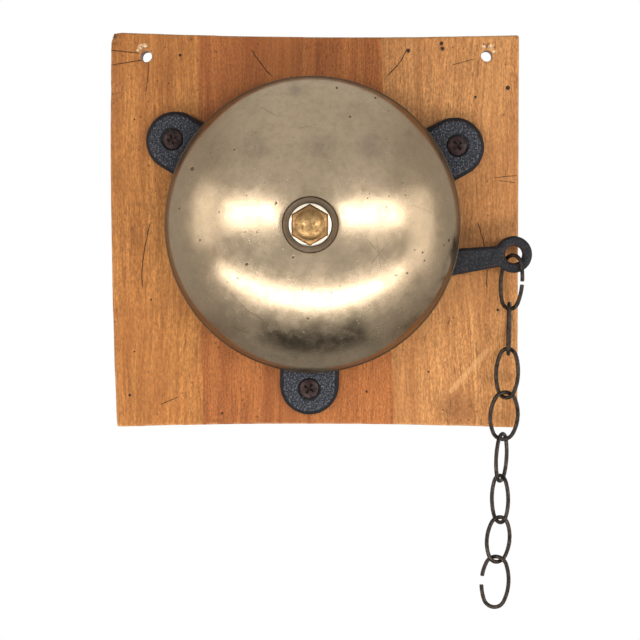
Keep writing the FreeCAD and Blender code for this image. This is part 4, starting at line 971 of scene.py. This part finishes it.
def cutAt(bm, side, keepRight):
    # cuts the board along a glue line, drops one half and closes the cut
    spotOn, normal = gluePlane(side)
    cut = bmesh.ops.bisect_plane(
        bm, geom=list(bm.verts) + list(bm.edges) + list(bm.faces), dist=boardLook["cutMerge"],
        plane_co=spotOn, plane_no=normal, clear_inner=keepRight, clear_outer=not keepRight)
    rim = [item for item in cut["geom_cut"] if isinstance(item, bmesh.types.BMEdge)]
    bmesh.ops.triangle_fill(bm, edges=rim, use_beauty=True, use_dissolve=False)
    for edge in rim:
        edge.smooth = False


whole = wholeBoard(boardLook)
chip(whole, boardLook)
breakCorner(whole, boardLook)
roughen(whole, boardLook["rough"])
for number, node in enumerate(staveLook):
    bm = whole.copy()
    for side, keepRight in ((number - 1, True), (number, False)):
        if side in (0, 1):
            cutAt(bm, side, keepRight)
    bmesh.ops.recalc_face_normals(bm, faces=bm.faces)
    finished(bm, node.replace("stave", "plank"), node, material=node)
whole.free()
print("board made")

# gong: outer skin turned from two arcs and a leaning wall, then given its thickness
gongShape = {
    "lip": 18.0, "depth": 59.0, "wall": 3.8, "crown": 122.9, "roll": 22.0, "lean": 16.0,
    "hole": 6.6, "seat": 18.5, "seatDepth": 1.2, "seatFoot": ((-0.9, 0.0), (-0.3, 0.12)),
    "seatTop": ((0.0, -0.4), (0.3, -0.1)), "seatGap": 0.006,
    "turns": 192, "crownSteps": 40, "rollSteps": 16,
    "rim": ((0.72, 2.6), (0.6, 2.45), (0.1, 2.3), (0.0, 1.9), (0.0, 0.5), (0.15, 0.15), (0.5, 0.0)),
    "waves": ((0.07, 34 * mm), (0.02, 12 * mm)),
}


def gongSpot(radius, height):
    return Vector((gongAxis.x + radius * mm, boardFace - height * mm, gongAxis.z))


def arcOn(bm, vert, centre, angle, steps):
    # draws an arc in the profile's plane by turning a point about a centre
    made = bmesh.ops.spin(
        bm, geom=[vert], cent=centre, axis=(0, 0, 1), angle=angle, steps=steps, use_merge=False)
    return next(item for item in made["geom_last"] if isinstance(item, bmesh.types.BMVert))


def lineOn(bm, vert, spotAt):
    made = bmesh.ops.extrude_vert_indiv(bm, verts=[vert])["verts"][0]
    made.co = spotAt
    return made


def gongPiece(shape):
    lean = math.radians(shape["lean"])
    outward = Vector((math.cos(lean), math.sin(lean)))
    along = Vector((-math.sin(lean), math.cos(lean)))
    top = shape["lip"] + shape["depth"]
    crown = shape["crown"]
    roll = shape["roll"]
    lip = Vector(((gongHigh.x - gongLow.x) / 2 / mm, shape["lip"]))
    crownMiddle = Vector((0, top - crown))
    # the roll touches the crown's arc inside and the wall's line outside
    across = (lip - crownMiddle).dot(outward) - roll
    meeting = outward * across + along * math.sqrt((crown - roll) ** 2 - across ** 2)
    rollMiddle = crownMiddle + meeting
    crownEnd = math.atan2(meeting.x, meeting.y)
    seatAngle = math.asin(shape["seat"] / crown)
    seatLevel = crownMiddle.y + crown * math.cos(seatAngle) - shape["seatDepth"]
    bm = bmesh.new()
    tip = bm.verts.new(gongSpot(shape["hole"], seatLevel))
    seatCorner = list(shape["seatFoot"])
    seatCorner += [(out, shape["seatDepth"] + drop) for out, drop in shape["seatTop"]]
    for out, rise in seatCorner:
        tip = lineOn(bm, tip, gongSpot(shape["seat"] + out, seatLevel + rise))
    start = seatAngle + shape["seatGap"]
    tip = lineOn(bm, tip, gongSpot(crown * math.sin(start), crownMiddle.y + crown * math.cos(start)))
    tip = arcOn(bm, tip, gongSpot(*crownMiddle), crownEnd - start, shape["crownSteps"])
    tip = arcOn(bm, tip, gongSpot(*rollMiddle), math.pi / 2 - lean - crownEnd, shape["rollSteps"])
    for inset, rise in shape["rim"]:
        tip = lineOn(bm, tip, gongSpot(lip.x - inset, lip.y + rise))
    profile = list(bm.verts) + list(bm.edges)
    bmesh.ops.spin(
        bm, geom=profile, cent=gongAxis, axis=(0, 1, 0), angle=2 * math.pi, steps=shape["turns"],
        use_merge=True)
    bmesh.ops.remove_doubles(bm, verts=bm.verts, dist=weld["gong"])
    bmesh.ops.recalc_face_normals(bm, faces=bm.faces)
    return bm


bm = gongPiece(gongShape)
for vert in bm.verts:
    wave = sum(height * noise.noise(vert.co / size) for height, size in gongShape["waves"])
    vert.co.y += wave * mm
gong = finished(bm, "gong_shell", "gong")
wallOfGong = gong.modifiers.new("wall", "SOLIDIFY")
wallOfGong.thickness = gongShape["wall"] * mm
wallOfGong.offset = -1.0
wallOfGong.use_even_offset = True
print("gong made")

# world: white behind and in reflections, softer on plain surfaces
light = {"world": 0.22, "white": (1, 1, 1, 1), "matt": 0.9}


def seenRays(tree):
    # 1 for what the camera sees directly, in gloss or through glass
    path = addNode(tree, "ShaderNodeLightPath").outputs
    bounced = calc(tree, "MAXIMUM", path["Is Glossy Ray"], path["Is Transmission Ray"])
    return calc(tree, "MAXIMUM", path["Is Camera Ray"], bounced)


world = bpy.data.worlds.new("studio")
world.use_nodes = True
bpy.context.scene.world = world
tree = world.node_tree
tree.nodes.clear()
strength = calc(tree, "MULTIPLY_ADD", seenRays(tree), 1.0 - light["world"], light["world"])
sky = addNode(tree, "ShaderNodeBackground", {"Color": light["white"], "Strength": strength})
tree.links.new(sky.outputs[0], addNode(tree, "ShaderNodeOutputWorld").inputs["Surface"])

# lamps: where each stands from the gong (right, out, up), its size and how bright its face looks
lamps = {
    "leftBlob": {"place": (-0.978, 1.125, 0.17), "size": (1.03, 0.37), "glow": 7.0},
    "rightBlob": {"place": (0.938, 1.158, 0.17), "size": (1.27, 0.37), "glow": 7.0},
    "leftSide": {"place": (-1.45, 0.388, 0.13), "size": (0.475, 0.8), "glow": 2.6},
    "rightSide": {"place": (1.45, 0.388, -0.05), "size": (0.475, 1.09), "glow": 2.3},
    "smile": {"place": (0.0, 0.66, -0.76), "size": (3.4, 0.2), "glow": 9.0},
}
for name, lamp in lamps.items():
    data = bpy.data.lights.new(name, "AREA")
    data.shape = "RECTANGLE"
    data.size, data.size_y = lamp["size"]
    data.energy = math.pi * data.size * data.size_y * lamp["glow"]
    stand = bpy.data.objects.new(name, data)
    bpy.context.collection.objects.link(stand)
    right, out, up = lamp["place"]
    stand.location = (gongAxis.x + right, boardFace - out, gongAxis.z + up)
    aim = Vector((gongAxis.x, boardFace, gongAxis.z)) - stand.location
    stand.rotation_mode = "QUATERNION"
    stand.rotation_quaternion = aim.to_track_quat("-Z", "Y")
    stand.visible_camera = False


def studioPiece(bm, name, place):
    mesh = bpy.data.meshes.new(name)
    bm.to_mesh(mesh)
    bm.free()
    piece = bpy.data.objects.new(name, mesh)
    bpy.context.collection.objects.link(piece)
    piece.location = place
    material, tree, shader = newMaterial(name)
    shader["Roughness"].default_value = light["matt"]
    mesh.materials.append(material)
    return piece, tree, shader


# dark card under the gong, seen only in its reflection
card = {"down": 0.75, "half": 0.38, "reach": 0.29, "shade": 0.03}
bm = bmesh.new()
bmesh.ops.create_grid(bm, x_segments=1, y_segments=1, size=0.5)
for vert in bm.verts:
    vert.co = Vector((vert.co.x * 2 * card["half"], (vert.co.y - 0.5) * card["reach"], 0))
darkCard, tree, shader = studioPiece(bm, "card", (gongAxis.x, boardFace, gongAxis.z - card["down"]))
shader["Base Color"].default_value = (card["shade"], card["shade"], card["shade"], 1)
darkCard.visible_camera = False
darkCard.visible_diffuse = False
darkCard.visible_shadow = False

# floor: pale and plain near the object, white further off
ground = {"level": -1.15, "radius": 14.0, "sides": 96, "colour": (0.85, 0.85, 0.84, 1), "fade": (0.9, 1.6)}
bm = bmesh.new()
bmesh.ops.create_circle(bm, cap_ends=True, segments=ground["sides"], radius=ground["radius"])
floor, tree, shader = studioPiece(bm, "floor", (0, 0, ground["level"]))
shader["Base Color"].default_value = ground["colour"]
away = vectorCalc(tree, "LENGTH", addNode(tree, "ShaderNodeTexCoord").outputs["Object"])
far = spread(tree, away, *ground["fade"])
glow = addNode(tree, "ShaderNodeEmission", {"Color": light["white"], "Strength": 1.0})
mixShader = addNode(tree, "ShaderNodeMixShader")
feed(tree, mixShader.inputs[0], times(tree, seenRays(tree), far))
surface = next(node for node in tree.nodes if node.type == "BSDF_PRINCIPLED")
tree.links.new(surface.outputs[0], mixShader.inputs[1])
tree.links.new(glow.outputs[0], mixShader.inputs[2])
target = next(node for node in tree.nodes if node.type == "OUTPUT_MATERIAL")
tree.links.new(mixShader.outputs[0], target.inputs["Surface"])
print("studio made")
